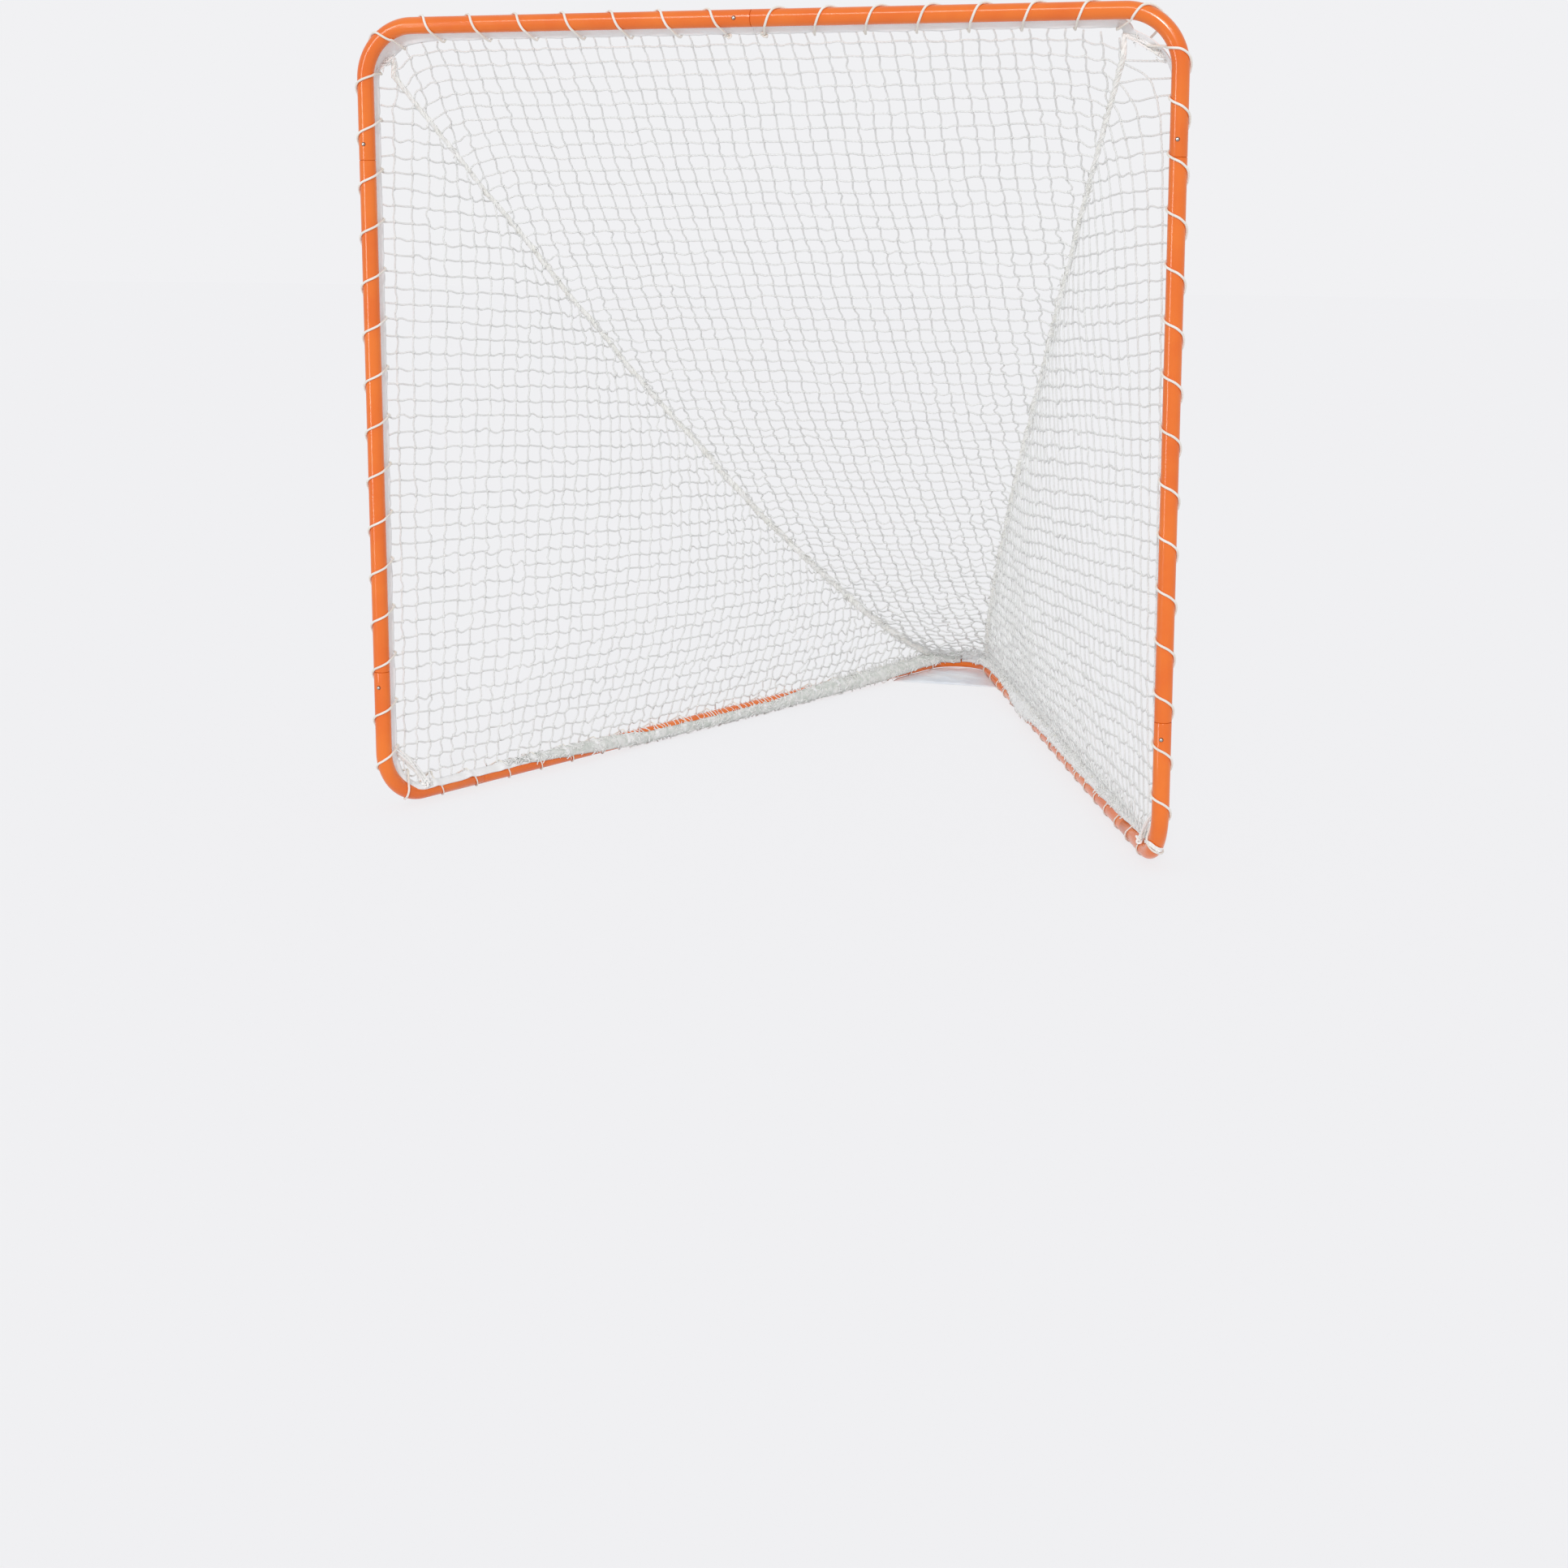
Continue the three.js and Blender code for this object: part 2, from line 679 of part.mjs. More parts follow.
// Edge tape: the woven band between the tube and the net, along half of the frame.
function edgeTapeGeometry(side) {
  const rings = side.route.stations(seamGap, apexMiddle - seamGap).map((distance) => {
    const { point, tangent } = side.route.place(distance);
    const away = netDirection(side.sign, distance);
    const across = tangent.clone().cross(away).multiplyScalar(tapeThickness / 2);
    const corners = [
      point.clone().addScaledVector(away, tapeInner).sub(across),
      point.clone().addScaledVector(away, tapeOuter).sub(across),
      point.clone().addScaledVector(away, tapeOuter).add(across),
      point.clone().addScaledVector(away, tapeInner).add(across),
    ];
    return corners;
  });
  return loftOfFours(rings);
}

// How far along the tube a turn has gone when it is at an angle round it.
function turnAdvance(angleShare) {
  const next = turnAngleShares.findIndex((share) => share >= angleShare);
  if (next < 1) return lacingPitch * (next ? turnAdvanceShares.at(-1) : turnAdvanceShares[0]);
  const [before, after] = [turnAngleShares[next - 1], turnAngleShares[next]];
  const [from, to] = [turnAdvanceShares[next - 1], turnAdvanceShares[next]];
  return lacingPitch * (from + ((to - from) * (angleShare - before)) / (after - before));
}

// How far a turn slides along the tube, so that it passes beside a button and not over it.
function slideOffButtons(side, start) {
  const passes = Object.values(joints).map((joint) => {
    if (joint.side !== side.name) return Infinity;
    const away = netDirection(side.sign, joint.buttonDistance);
    const { tangent } = side.route.place(joint.buttonDistance);
    const across = tangent.clone().cross(away).multiplyScalar(-side.sign);
    const angleShare = Math.atan2(joint.out.dot(across), joint.out.dot(away)) / (2 * Math.PI);
    return start + turnAdvance((angleShare + 1) % 1) - joint.buttonDistance;
  });
  const near = passes.find((pass) => Math.abs(pass) < buttonClearance);
  if (near === undefined) return 0;
  return near < 0 ? -buttonClearance - near : buttonClearance - near;
}

// Lacing: each turn passes through the net beside the tape and round the outside of the tube.
function lacingPoints(side, firstTurn, endTurn) {
  const points = [];
  const addPoint = (distance, away, sideways) => {
    const { point, tangent } = side.route.place(distance);
    const out = netDirection(side.sign, distance);
    const across = tangent.clone().cross(out).multiplyScalar(-side.sign);
    points.push(point.addScaledVector(out, away).addScaledVector(across, sideways));
  };
  for (let turn = firstTurn; turn < endTurn; turn++) {
    const start = side.lacingStart + turn * lacingPitch;
    const slide = slideOffButtons(side, start);
    addPoint(start + crossingAdvanceShare * lacingPitch, lacingPass, lacingCrossing);
    turnAngleShares.forEach((angleShare, i) => {
      const angle = 2 * Math.PI * angleShare;
      const distance = start + turnAdvanceShares[i] * lacingPitch + slide;
      addPoint(distance, lacingTurnRadius * Math.cos(angle), lacingTurnRadius * Math.sin(angle));
    });
    addPoint(start + (1 - crossingAdvanceShare) * lacingPitch, lacingPass, -lacingCrossing);
  }
  return points;
}

// The whole lacing of one side is one cord in two lengths, whose cut ends face each other at
// the pass through the net where the turns begin to lie on the ground.
function lacingGeometries(side) {
  const turnAt = (distance) => (distance - side.lacingStart) / lacingPitch;
  const groundTurn = Math.ceil(turnAt(lowerBend.end - lacingTurnRadius));
  const endTurn = Math.floor(turnAt(apexMiddle - lacingEndSetback));
  const upper = lacingPoints(side, 0, groundTurn);
  const base = lacingPoints(side, groundTurn, endTurn);
  printLeastGap(side.name + " lacing", [...upper, ...base], lacingDiameter);
  const step = base[0].clone().sub(upper.at(-1));
  const halfGap = step.clone().setLength(cordGap / 2);
  const middle = upper.at(-1).clone().addScaledVector(step, 1 / 2);
  const upperEnd = middle.clone().sub(halfGap);
  const baseEnd = middle.clone().add(halfGap);
  return {
    upper: cordThrough([...upper, upperEnd], lacingRadius, cordSides),
    base: pressedFlat(cordThrough([baseEnd, ...base], lacingRadius, cordSides)),
  };
}

// The turns under the rails are pressed flat where the goal stands on them.
function pressedFlat(geometry) {
  const width = 2 * goalDepth;
  const ground = new THREE.BoxGeometry(width, width, tubeDiameter);
  ground.translate(0, 0, -tubeDiameter / 2);
  return cut(geometry, ground);
}

// Prints how near a cord comes to itself, away from its own run of a turn's length.
function printLeastGap(name, points, diameter) {
  const path = new PointPath(points);
  const samples = path.getPoints((points.length - 1) * gapSamplesPerStep);
  const skip = 2 * gapSamplesPerStep;
  let least = Infinity;
  samples.forEach((sample, i) => {
    samples.slice(i + skip + 1).forEach((other) => {
      least = Math.min(least, sample.distanceTo(other));
    });
  });
  console.log(name + ": least gap to itself " + (least - diameter).toFixed(2) + " mm");
}

// Ground panel: the sheet that closes the floor between the rails at the rear apex.
function groundPanelGeometry() {
  const rail = railDirection(1);
  const inset = groundPanelEdge;
  const frontDepth = goalDepth - groundPanelReach;
  const halfWidthAt = (depth) => halfSpan + (rail.x * depth) / rail.y - inset / rail.y;
  const arcCentre = goalDepth - apexBendRadius;
  const arcRadius = apexBendRadius - inset;
  const arcAngle = Math.atan2(-rail.x, rail.y);
  const outline = new THREE.Shape();
  outline.moveTo(-halfWidthAt(frontDepth), frontDepth);
  outline.lineTo(halfWidthAt(frontDepth), frontDepth);
  outline.absarc(0, arcCentre, arcRadius, arcAngle, Math.PI - arcAngle, false);
  outline.closePath();
  return new THREE.ExtrudeGeometry(outline, {
    depth: groundPanelThickness,
    bevelEnabled: false,
    curveSegments: panelArcSteps,
  });
}

// Assembly
const finishes = {
  paint: { color: 0xf07830, roughness: 0.35, metalness: 0.1 },
  steel: { color: 0xb9babc, roughness: 0.3, metalness: 1 },
  twine: { color: 0xf4f4ef, roughness: 0.9, metalness: 0 },
  cord: { color: 0xefeade, roughness: 0.9, metalness: 0 },
  tape: { color: 0xe9eeeb, roughness: 0.95, metalness: 0 },
  panel: { color: 0xf0f1f6, roughness: 0.8, metalness: 0 },
};

const goal = new THREE.Group();

function addMesh(name, geometry, finish, parent = goal) {
  const mesh = new THREE.Mesh(geometry, new THREE.MeshStandardMaterial(finishes[finish]));
  mesh.name = name;
  parent.add(mesh);
}

function drilled(geometry, ...jointNames) {
  return cut(geometry, ...jointNames.map((name) => buttonHole(joints[name])));
}

sides.forEach(({ name, sign, route }) => {
  const inPlan = railDirection(sign).cross(up).normalize();
  const upper = bentTube(route, 0, upperJoint, sign > 0, false, front);
  addMesh(name + "_upper_corner_tube", drilled(upper, "crossbar", name + "_post_top"), "paint");
  const post = bentTube(route, upperJoint, lowerJoint, true, true, front);
  addMesh(name + "_post_tube", drilled(post, name + "_post_top", name + "_post_bottom"), "paint");
  const lower = bentTube(route, lowerJoint, frontJoint, false, false, inPlan);
  addMesh(name + "_lower_corner_tube", drilled(lower, name + "_post_bottom", name + "_rail_front"), "paint");
  const rail = bentTube(route, frontJoint, rearJoint, true, true, up);
  addMesh(name + "_base_rail", drilled(rail, name + "_rail_front", name + "_rail_rear"), "paint");
});
const apexTube = bentTube(routes.left, rearJoint, 2 * apexMiddle - rearJoint, false, false, up);
addMesh("rear_apex_tube", drilled(apexTube, "left_rail_rear", "right_rail_rear"), "paint");

Object.values(joints).forEach(({ name, frame }) => {
  const place = new THREE.Group();
  frame.decompose(place.position, place.quaternion, place.scale);
  goal.add(place);
  addMesh("snap_button_" + name, snapButtonGeometry(), "steel", place);
  addMesh("snap_spring_" + name, snapSpringGeometry(), "steel", place);
});

sides.forEach((side) => {
  addMesh(side.name + "_side_net", sideNetGeometry(side), "twine");
  addMesh(side.name + "_seam_cord", seamCordGeometry(side), "cord");
  addMesh(side.name + "_edge_tape", edgeTapeGeometry(side), "tape");
  const { upper, base } = lacingGeometries(side);
  addMesh(side.name + "_lacing", upper, "cord");
  addMesh(side.name + "_base_lacing", base, "cord");
});
addMesh("back_net", backNetGeometry(), "twine");
addMesh("apex_ground_panel", groundPanelGeometry(), "panel");

// The origin lies under the middle of the goal's depth.
const frontReach = lacingTurnRadius + lacingRadius;
goal.position.y = -(goalDepth + tubeRadius - frontReach) / 2;

export default goal;
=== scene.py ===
"""Lacrosse goal: orange powder-coated tubes, spring buttons, and a white knotted net laced on.

Metres, +Z up, +X to the right of someone who faces the mouth, +Y towards the rear apex.
"""

import math

import bpy
import numpy as np
from mathutils import Euler, Matrix, Vector, noise


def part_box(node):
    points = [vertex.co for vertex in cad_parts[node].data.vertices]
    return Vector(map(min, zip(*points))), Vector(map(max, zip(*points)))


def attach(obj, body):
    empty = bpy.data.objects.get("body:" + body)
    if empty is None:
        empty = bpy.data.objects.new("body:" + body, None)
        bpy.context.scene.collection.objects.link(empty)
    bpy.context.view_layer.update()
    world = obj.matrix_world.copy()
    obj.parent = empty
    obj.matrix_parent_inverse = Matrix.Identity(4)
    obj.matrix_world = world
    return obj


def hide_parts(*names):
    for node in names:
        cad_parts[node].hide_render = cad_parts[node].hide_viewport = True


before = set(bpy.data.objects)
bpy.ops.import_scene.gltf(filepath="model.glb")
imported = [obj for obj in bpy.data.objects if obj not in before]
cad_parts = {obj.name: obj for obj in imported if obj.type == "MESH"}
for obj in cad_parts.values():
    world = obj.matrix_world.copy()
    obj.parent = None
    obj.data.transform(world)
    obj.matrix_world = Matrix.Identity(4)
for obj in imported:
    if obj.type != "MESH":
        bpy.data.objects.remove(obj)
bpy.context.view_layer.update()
# The slack of nets and seams is drawn from this seed, so that it is the same each time.
noise.seed_set(5)

# ---------------------------------------------------------------- sizes
# Tubes, their bends, and where their joints lie.
TUBE_RADIUS = 0.01905
TUBE_WALL = 0.0012
TUBE_EDGE = 0.00035
CORNER_BEND = 0.119
APEX_BEND = 0.100
UPPER_JOINT_DROP = 0.301
LOWER_JOINT_HEIGHT = 0.343
FRONT_RAIL_JOINT = 0.311
REAR_JOINT_SETBACK = 0.355
PLUG_LENGTH = 0.070
PLUG_CLEARANCE = 0.00065
PLUG_RADIUS = TUBE_RADIUS - TUBE_WALL - PLUG_CLEARANCE
PLUG_BORE = TUBE_RADIUS - 2 * TUBE_WALL - PLUG_CLEARANCE
SEAM_GAP = 0.0003
SHOULDER = 0.0015

# Spring buttons and the folded strip that each stands on.
BUTTON_RADIUS = 0.004
BUTTON_HOLE_RADIUS = 0.00475
BUTTON_PROUD = 0.0035
BUTTON_DOME = 0.0032
BUTTON_SETBACK = 0.036
SPRING_WIDTH = 0.008
SPRING_THICKNESS = 0.0008
SPRING_EDGE = 0.0002
SPRING_ROLL = 0.002
SPRING_PIVOT = Vector((-0.012, 0, 0.008))
SPRING_REACH = BUTTON_SETBACK + 0.005
ROLL_GAP = 0.0004
ARM_GAP = 0.0012
LEG_GAP = 0.0003

# Net, seams, edge tape, lacing and ground panel.
MESH = 0.0381
TWINE_RADIUS = 0.0022
NET_EDGE = 0.0425
NET_FOOT = 0.0215
NET_SLOPE = math.radians(52)
SEAM_TOP_RUN = 0.0511
SEAM_TOP_Z = {"left": 1.738, "right": 1.761}
SEAM_TOP_INWARD = {"left": 0.030, "right": 0.108}
SEAM_END_ABOVE_RAIL = 0.034
SEAM_SAG = 0.182
SEAM_BOW = 0.068
ROW_DROOP = 0.075
TAPE_INNER = 0.01955
TAPE_OUTER = 0.04155
TAPE_WIDTH = TAPE_OUTER - TAPE_INNER
TAPE_THICKNESS = 0.0015
BUNCH_THICKNESS = 0.0012
LACING_RADIUS = 0.0027
BASE_LACING_RADIUS = 0.0017
LACING_PITCH = 3 * MESH
LACING_PASS = 0.0424
BASE_LACING_PASS = 0.0270
LACING_STARTS = {"left": 0.060, "right": 0.019}
PANEL_REACH = 0.245
PANEL_EDGE = 0.0048
PANEL_THICKNESS = 0.0006

# ---------------------------------------------------------------- places
post_low, post_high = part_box("right_post_tube")
apex_low, apex_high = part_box("rear_apex_tube")
HALF_SPAN = (post_low.x + post_high.x) / 2
MOUTH_Y = (post_low.y + post_high.y) / 2
CROSSBAR_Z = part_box("right_upper_corner_tube")[1].z - TUBE_RADIUS
RAIL_Z = (apex_low.z + apex_high.z) / 2
GOAL_DEPTH = apex_high.y - TUBE_RADIUS - MOUTH_Y
UP = Vector((0, 0, 1))
FRONT = Vector((0, -1, 0))
SIGNS = {"left": -1, "right": 1}


class Route:
    """Straight stretches joined by round bends; places are distances along it."""

    def __init__(self, corners, radii):
        self.stretches, self.bends, self.length = [], [], 0.0
        here = corners[0]
        for before, corner, after, radius in zip(corners, corners[1:], corners[2:], radii):
            arriving, leaving = (corner - before).normalized(), (after - corner).normalized()
            turn = arriving.angle(leaving)
            setback = radius * math.tan(turn / 2)
            start = corner - arriving * setback
            self.add_straight(here, start)
            self.add_bend(start, arriving, leaving, turn, radius)
            here = corner + leaving * setback
        self.add_straight(here, corners[-1])

    def add_straight(self, start, end):
        tangent = (end - start).normalized()
        self.stretches.append((self.length, lambda run: (start + tangent * run, tangent.copy())))
        self.length += (end - start).length

    def add_bend(self, start, arriving, leaving, turn, radius):
        inward = (leaving - arriving * math.cos(turn)).normalized()

        def at(run):
            angle = run / radius
            sine, cosine = math.sin(angle), math.cos(angle)
            across = arriving * (radius * sine) + inward * (radius * (1 - cosine))
            return start + across, arriving * cosine + inward * sine

        bend = {"start": self.length, "end": self.length + radius * turn, "turn": turn}
        bend.update(centre=start + inward * radius, axis=arriving.cross(leaving).normalized())
        self.bends.append(bend)
        self.stretches.append((self.length, at))
        self.length += radius * turn

    def place(self, distance):
        """The tube's middle at a distance, and the direction in which the route goes on."""
        start, at = [s for s in self.stretches if s[0] <= distance or s[0] == 0.0][-1]
        return at(distance - start)


def rails_meeting_depth():
    """How deep the rails' lines meet, so that the rounded apex reaches the goal's depth."""
    low, high = GOAL_DEPTH, 2 * GOAL_DEPTH
    for _ in range(40):
        middle = (low + high) / 2
        half_angle = math.atan2(HALF_SPAN, middle)
        if middle - APEX_BEND / math.sin(half_angle) + APEX_BEND > GOAL_DEPTH:
            high = middle
        else:
            low = middle
    return (low + high) / 2


APEX_POINT = Vector((0, MOUTH_Y + rails_meeting_depth(), RAIL_Z))


def corner(sign, height):
    return Vector((sign * HALF_SPAN, MOUTH_Y, height))


def half_route(sign):
    """From the crossbar's middle down a post and along its rail, round the apex and back."""
    corners = [Vector((0, MOUTH_Y, CROSSBAR_Z)), corner(sign, CROSSBAR_Z), corner(sign, RAIL_Z)]
    corners += [APEX_POINT, corner(-sign, RAIL_Z)]
    return Route(corners, [CORNER_BEND, CORNER_BEND, APEX_BEND])


ROUTES = {side: half_route(sign) for side, sign in SIGNS.items()}
UPPER_BEND, LOWER_BEND, APEX_TURN = ROUTES["left"].bends
APEX_MIDDLE = (APEX_TURN["start"] + APEX_TURN["end"]) / 2
UPPER_JOINT = UPPER_BEND["end"] - CORNER_BEND + UPPER_JOINT_DROP
LOWER_JOINT = LOWER_BEND["start"] - LOWER_JOINT_HEIGHT + CORNER_BEND + RAIL_Z
FRONT_JOINT = LOWER_BEND["end"] - CORNER_BEND + FRONT_RAIL_JOINT
REAR_JOINT = APEX_TURN["start"] - REAR_JOINT_SETBACK
RAIL_START = LOWER_BEND["end"] - CORNER_BEND


def rail_direction(sign):
    return (APEX_POINT - corner(sign, RAIL_Z)).normalized()


def rail_outward(side):
    return rail_direction(SIGNS[side]).cross(UP) * SIGNS[side]


def squared(direction, side, distance):
    tangent = ROUTES[side].place(distance)[1]
    return (direction - tangent * direction.dot(tangent)).normalized()


def net_direction(side, distance):
    """The way in which the net leaves the tube."""
    from_crossbar = Vector((0, math.cos(NET_SLOPE), -math.sin(NET_SLOPE)))
    from_post = rail_direction(SIGNS[side])
    if distance <= UPPER_BEND["start"]:
        return from_crossbar
    if distance <= UPPER_BEND["end"]:
        share = (distance - UPPER_BEND["start"]) / (UPPER_BEND["end"] - UPPER_BEND["start"])
        return squared(from_crossbar.lerp(from_post, share), side, distance)
    if distance <= LOWER_BEND["start"]:
        return from_post
    if distance >= LOWER_BEND["end"]:
        return UP.copy()
    return squared(UP + from_post, side, distance)


def ring_point(side, distance, angle, away):
    """A point round the tube: angle 0 is where the net leaves it, a quarter turn its inner side."""
    point, tangent = ROUTES[side].place(distance)
    out = net_direction(side, distance)
    inside = tangent.cross(out) * -SIGNS[side]
    return point + (out * math.cos(angle) + inside * math.sin(angle)) * away


# ---------------------------------------------------------------- camera
def add_camera():
    """The photograph's viewpoint: in front of the mouth and to its right, at about head height."""
    data = bpy.data.cameras.new("camera")
    data.sensor_width, data.lens, data.shift_y, data.clip_end = 36, 55.32, -0.117, 100
    camera = bpy.data.objects.new("camera", data)
    place = Vector((1.6601, -6.1813, 1.4703))
    yaw, pitch, roll = -0.3005, -0.1671, 0.0006
    ahead = Vector((math.sin(yaw), math.cos(yaw), 0)) * math.cos(pitch) + UP * math.sin(pitch)
    level = Vector((math.cos(yaw), -math.sin(yaw), 0))
    upright = level.cross(ahead)
    right = level * math.cos(roll) + upright * math.sin(roll)
    above = upright * math.cos(roll) - level * math.sin(roll)
    turned = Matrix((right, above, -ahead)).transposed().to_quaternion()
    camera.matrix_world = Matrix.LocRotScale(place, turned, None)
    bpy.context.scene.collection.objects.link(camera)
    bpy.context.scene.camera = camera


add_camera()


# ---------------------------------------------------------------- materials
def linear(hex_code):
    """An sRGB hex colour as linear red, green, blue and alpha."""
    shares = [int(hex_code[i : i + 2], 16) / 255 for i in (1, 3, 5)]
    return [c / 12.92 if c <= 0.04045 else ((c + 0.055) / 1.055) ** 2.4 for c in shares] + [1.0]


def add_node(owner, kind, settings=None, links=None):
    """A node of a material or the world, with its settings and what feeds its sockets."""
    node = owner.node_tree.nodes.new(kind)
    for name, value in (settings or {}).items():
        if isinstance(name, str) and hasattr(node, name):
            setattr(node, name, value)
        else:
            node.inputs[name].default_value = value
    for name, source in (links or {}).items():
        owner.node_tree.links.new(source, node.inputs[name])
    return node


def new_material(name, **surface):
    """A material whose shader holds the plain settings, and the shader itself."""
    material = bpy.data.materials.new(name)
    material.use_nodes = True
    shader = material.node_tree.nodes["Principled BSDF"]
    for socket, value in surface.items():
        shader.inputs[socket.replace("_", " ")].default_value = value
    return material, shader


def mottled(material, shader, first, second, patches):
    """Base colour that drifts between two hex colours, with so many patches to the metre."""
    place = add_node(material, "ShaderNodeTexCoord").outputs["Object"]
    settings = {"Scale": patches, "Detail": 3.0}
    cloud = add_node(material, "ShaderNodeTexNoise", settings, {"Vector": place})
    ramp = add_node(material, "ShaderNodeValToRGB", links={"Fac": cloud.outputs["Fac"]})
    for stop, position, colour in zip(ramp.color_ramp.elements, (0.35, 0.65), (first, second)):
        stop.position, stop.color = position, linear(colour)
    material.node_tree.links.new(ramp.outputs["Color"], shader.inputs["Base Color"])
    return place


def raised(material, shader, height, distance, strength):
    """Bump from a height between 0 and 1 that stands for a distance in metres."""
    settings = {"Strength": strength, "Distance": distance}
    bump = add_node(material, "ShaderNodeBump", settings, {"Height": height})
    material.node_tree.links.new(bump.outputs["Normal"], shader.inputs["Normal"])


def pebbled(material, shader, place, bumps, depth):
    """Fine bumps all over a hard surface, so many to the metre."""
    settings = {"Scale": bumps, "Detail": 2.0}
    grain = add_node(material, "ShaderNodeTexNoise", settings, {"Vector": place})
    raised(material, shader, grain.outputs["Fac"], depth, 0.4)


def ridges(material, along, across):
    """A sine over the piece's UV map, with so many ridges to each unit of U and of V.

    U is metres along a cord and V the share round it; both are metres on a sheet."""
    place = add_node(material, "ShaderNodeTexCoord").outputs["UV"]
    settings = {"operation": "DOT_PRODUCT", 1: (2 * math.pi * along, 2 * math.pi * across, 0)}
    phase = add_node(material, "ShaderNodeVectorMath", settings, {0: place}).outputs["Value"]
    return add_node(material, "ShaderNodeMath", {"operation": "SINE"}, {0: phase}).outputs[0]


def crossed(material, operation, one, other):
    """Two sets of ridges as one height."""
    links = {0: ridges(material, *one), 1: ridges(material, *other)}
    return add_node(material, "ShaderNodeMath", {"operation": operation}, links).outputs[0]


def powder_coat():
    """Gloss polyester powder coat, sprayed dry and baked on steel tube: bright, clear highlights.

    The orange peel is 2.4 mm across, and the spray's cloudiness about 11 cm."""
    material, shader = new_material("orange_powder_coat", Roughness=0.18, IOR=1.5, Metallic=0.0)
    place = mottled(material, shader, "#EC6E1A", "#F27A22", 9.0)
    pebbled(material, shader, place, 420.0, 0.00005)
    return material


def plated_steel():
    """Nickel-plated spring steel, stamped and tumbled: bright grey, with 0.4 mm tumbling dents."""
    material, shader = new_material("plated_spring_steel", Roughness=0.3, Metallic=1.0)
    place = mottled(material, shader, "#9C9B97", "#B8B7B3", 300.0)
    pebbled(material, shader, place, 2500.0, 0.00003)
    return material


def twisted(name, first, second, pitch, depth):
    """Three-strand nylon, twisted: soft sheen, with grooves that wind once round in a pitch."""
    material, shader = new_material(name, Roughness=0.8, IOR=1.5, Sheen_Weight=0.15)
    mottled(material, shader, first, second, 25.0)
    raised(material, shader, ridges(material, 1 / pitch, 3), depth, 0.8)
    return material


def braided_cord():
    """Braided polyester: yarns that cross in 6 mm diamonds, matt, cream white."""
    material, shader = new_material("braided_polyester_cord", Roughness=0.85, IOR=1.5)
    mottled(material, shader, "#F1EDE2", "#FBF9F2", 30.0)
    height = crossed(material, "MAXIMUM", (1 / 0.006, 3), (1 / 0.006, -3))
    raised(material, shader, height, 0.0004, 0.8)
    return material


def woven(name, first, second, pitch, depth, patches):
    """Plain-woven polyester: matt threads that cross square, up and down once in a pitch."""
    material, shader = new_material(name, Roughness=0.9, IOR=1.5)
    mottled(material, shader, first, second, patches)
    height = crossed(material, "MULTIPLY", (1 / pitch, 0), (0, 1 / pitch))
    raised(material, shader, height, depth, 0.7)
    return material


PAINT = powder_coat()
STEEL = plated_steel()
LACING = braided_cord()
# Net twine lays up in 9 mm, the gathered rope of the seams in 16 mm.
# The net twine is white nylon. Both of its colours are drawn a little grey as painted shade, for
# the soft shade the net hangs in.
TWINE = twisted("twisted_nylon_twine", "#E9EAE8", "#F4F5F3", 0.009, 0.0004)
SEAM_ROPE = twisted("twisted_seam_rope", "#FAFAF4", "#FFFFFC", 0.016, 0.0005)
FRAYED = twisted("frayed_nylon_twine", "#FBFBF7", "#FFFFFE", 0.009, 0.0003)
# Real threads lie about 1 mm apart, too fine to show here: the weaves are drawn 2 to 4 mm wide.
TAPE = woven("woven_edge_tape", "#FAFBFA", "#FFFFFF", 0.0022, 0.0003, 14.0)
BUNCHED = woven("bunched_net_and_tape", "#DDE2DB", "#FBFCF9", 0.0045, 0.0010, 60.0)
PANEL_CLOTH = woven("woven_panel_cloth", "#ECF2FA", "#FBFDFF", 0.0030, 0.0003, 5.0)


# ---------------------------------------------------------------- modelling helpers
def pick(*pieces):
    """These pieces alone selected, the first of them active."""
    bpy.ops.object.select_all(action="DESELECT")
    for piece in pieces:
        piece.select_set(True)
    if pieces:
        bpy.context.view_layer.objects.active = pieces[0]


def finish_modifiers(piece):
    pick(piece)
    for modifier in list(piece.modifiers):
        bpy.ops.object.modifier_apply(modifier=modifier.name)


def place_in_mesh():
    bpy.ops.object.transform_apply(location=True, rotation=True, scale=True)


def extrude_by(step, scale=None, centre=None):
    bpy.ops.mesh.extrude_region_move(TRANSFORM_OT_translate={"value": step})
    if scale:
        bpy.ops.transform.resize(value=(scale, scale, scale), center_override=centre)


def add_rod(place, radius, depth, sides, rotation=(0, 0, 0)):
    """A selected cylinder, as the start of a piece or of a drill."""
    pick()
    bpy.ops.mesh.primitive_cylinder_add(
        vertices=sides, radius=radius, depth=depth, location=place, rotation=rotation
    )
    place_in_mesh()
    return bpy.context.object


def round_edges(piece, width, degrees):
    edge = piece.modifiers.new("edge", "BEVEL")
    edge.width, edge.segments = width, 2
    edge.limit_method, edge.angle_limit = "ANGLE", math.radians(degrees)


def coat(piece, material, degrees):
    """One material all over, shaded smooth where faces meet below an angle."""
    piece.data.materials.clear()
    piece.data.materials.append(material)
    pick(piece)
    bpy.ops.object.shade_smooth_by_angle(angle=math.radians(degrees))


def settle(piece, body, node):
    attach(piece, body)
    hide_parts(node)
    return piece


# ---------------------------------------------------------------- mesh helpers
def unit(vectors):
    return vectors / np.maximum(np.linalg.norm(vectors, axis=-1, keepdims=True), 1e-9)


def travelled(points):
    """How far along its line each point lies; the last axis but one runs along a line."""
    steps = np.linalg.norm(np.diff(points, axis=-2), axis=-1)
    return np.concatenate([np.zeros_like(steps[..., :1]), np.cumsum(steps, axis=-1)], axis=-1)


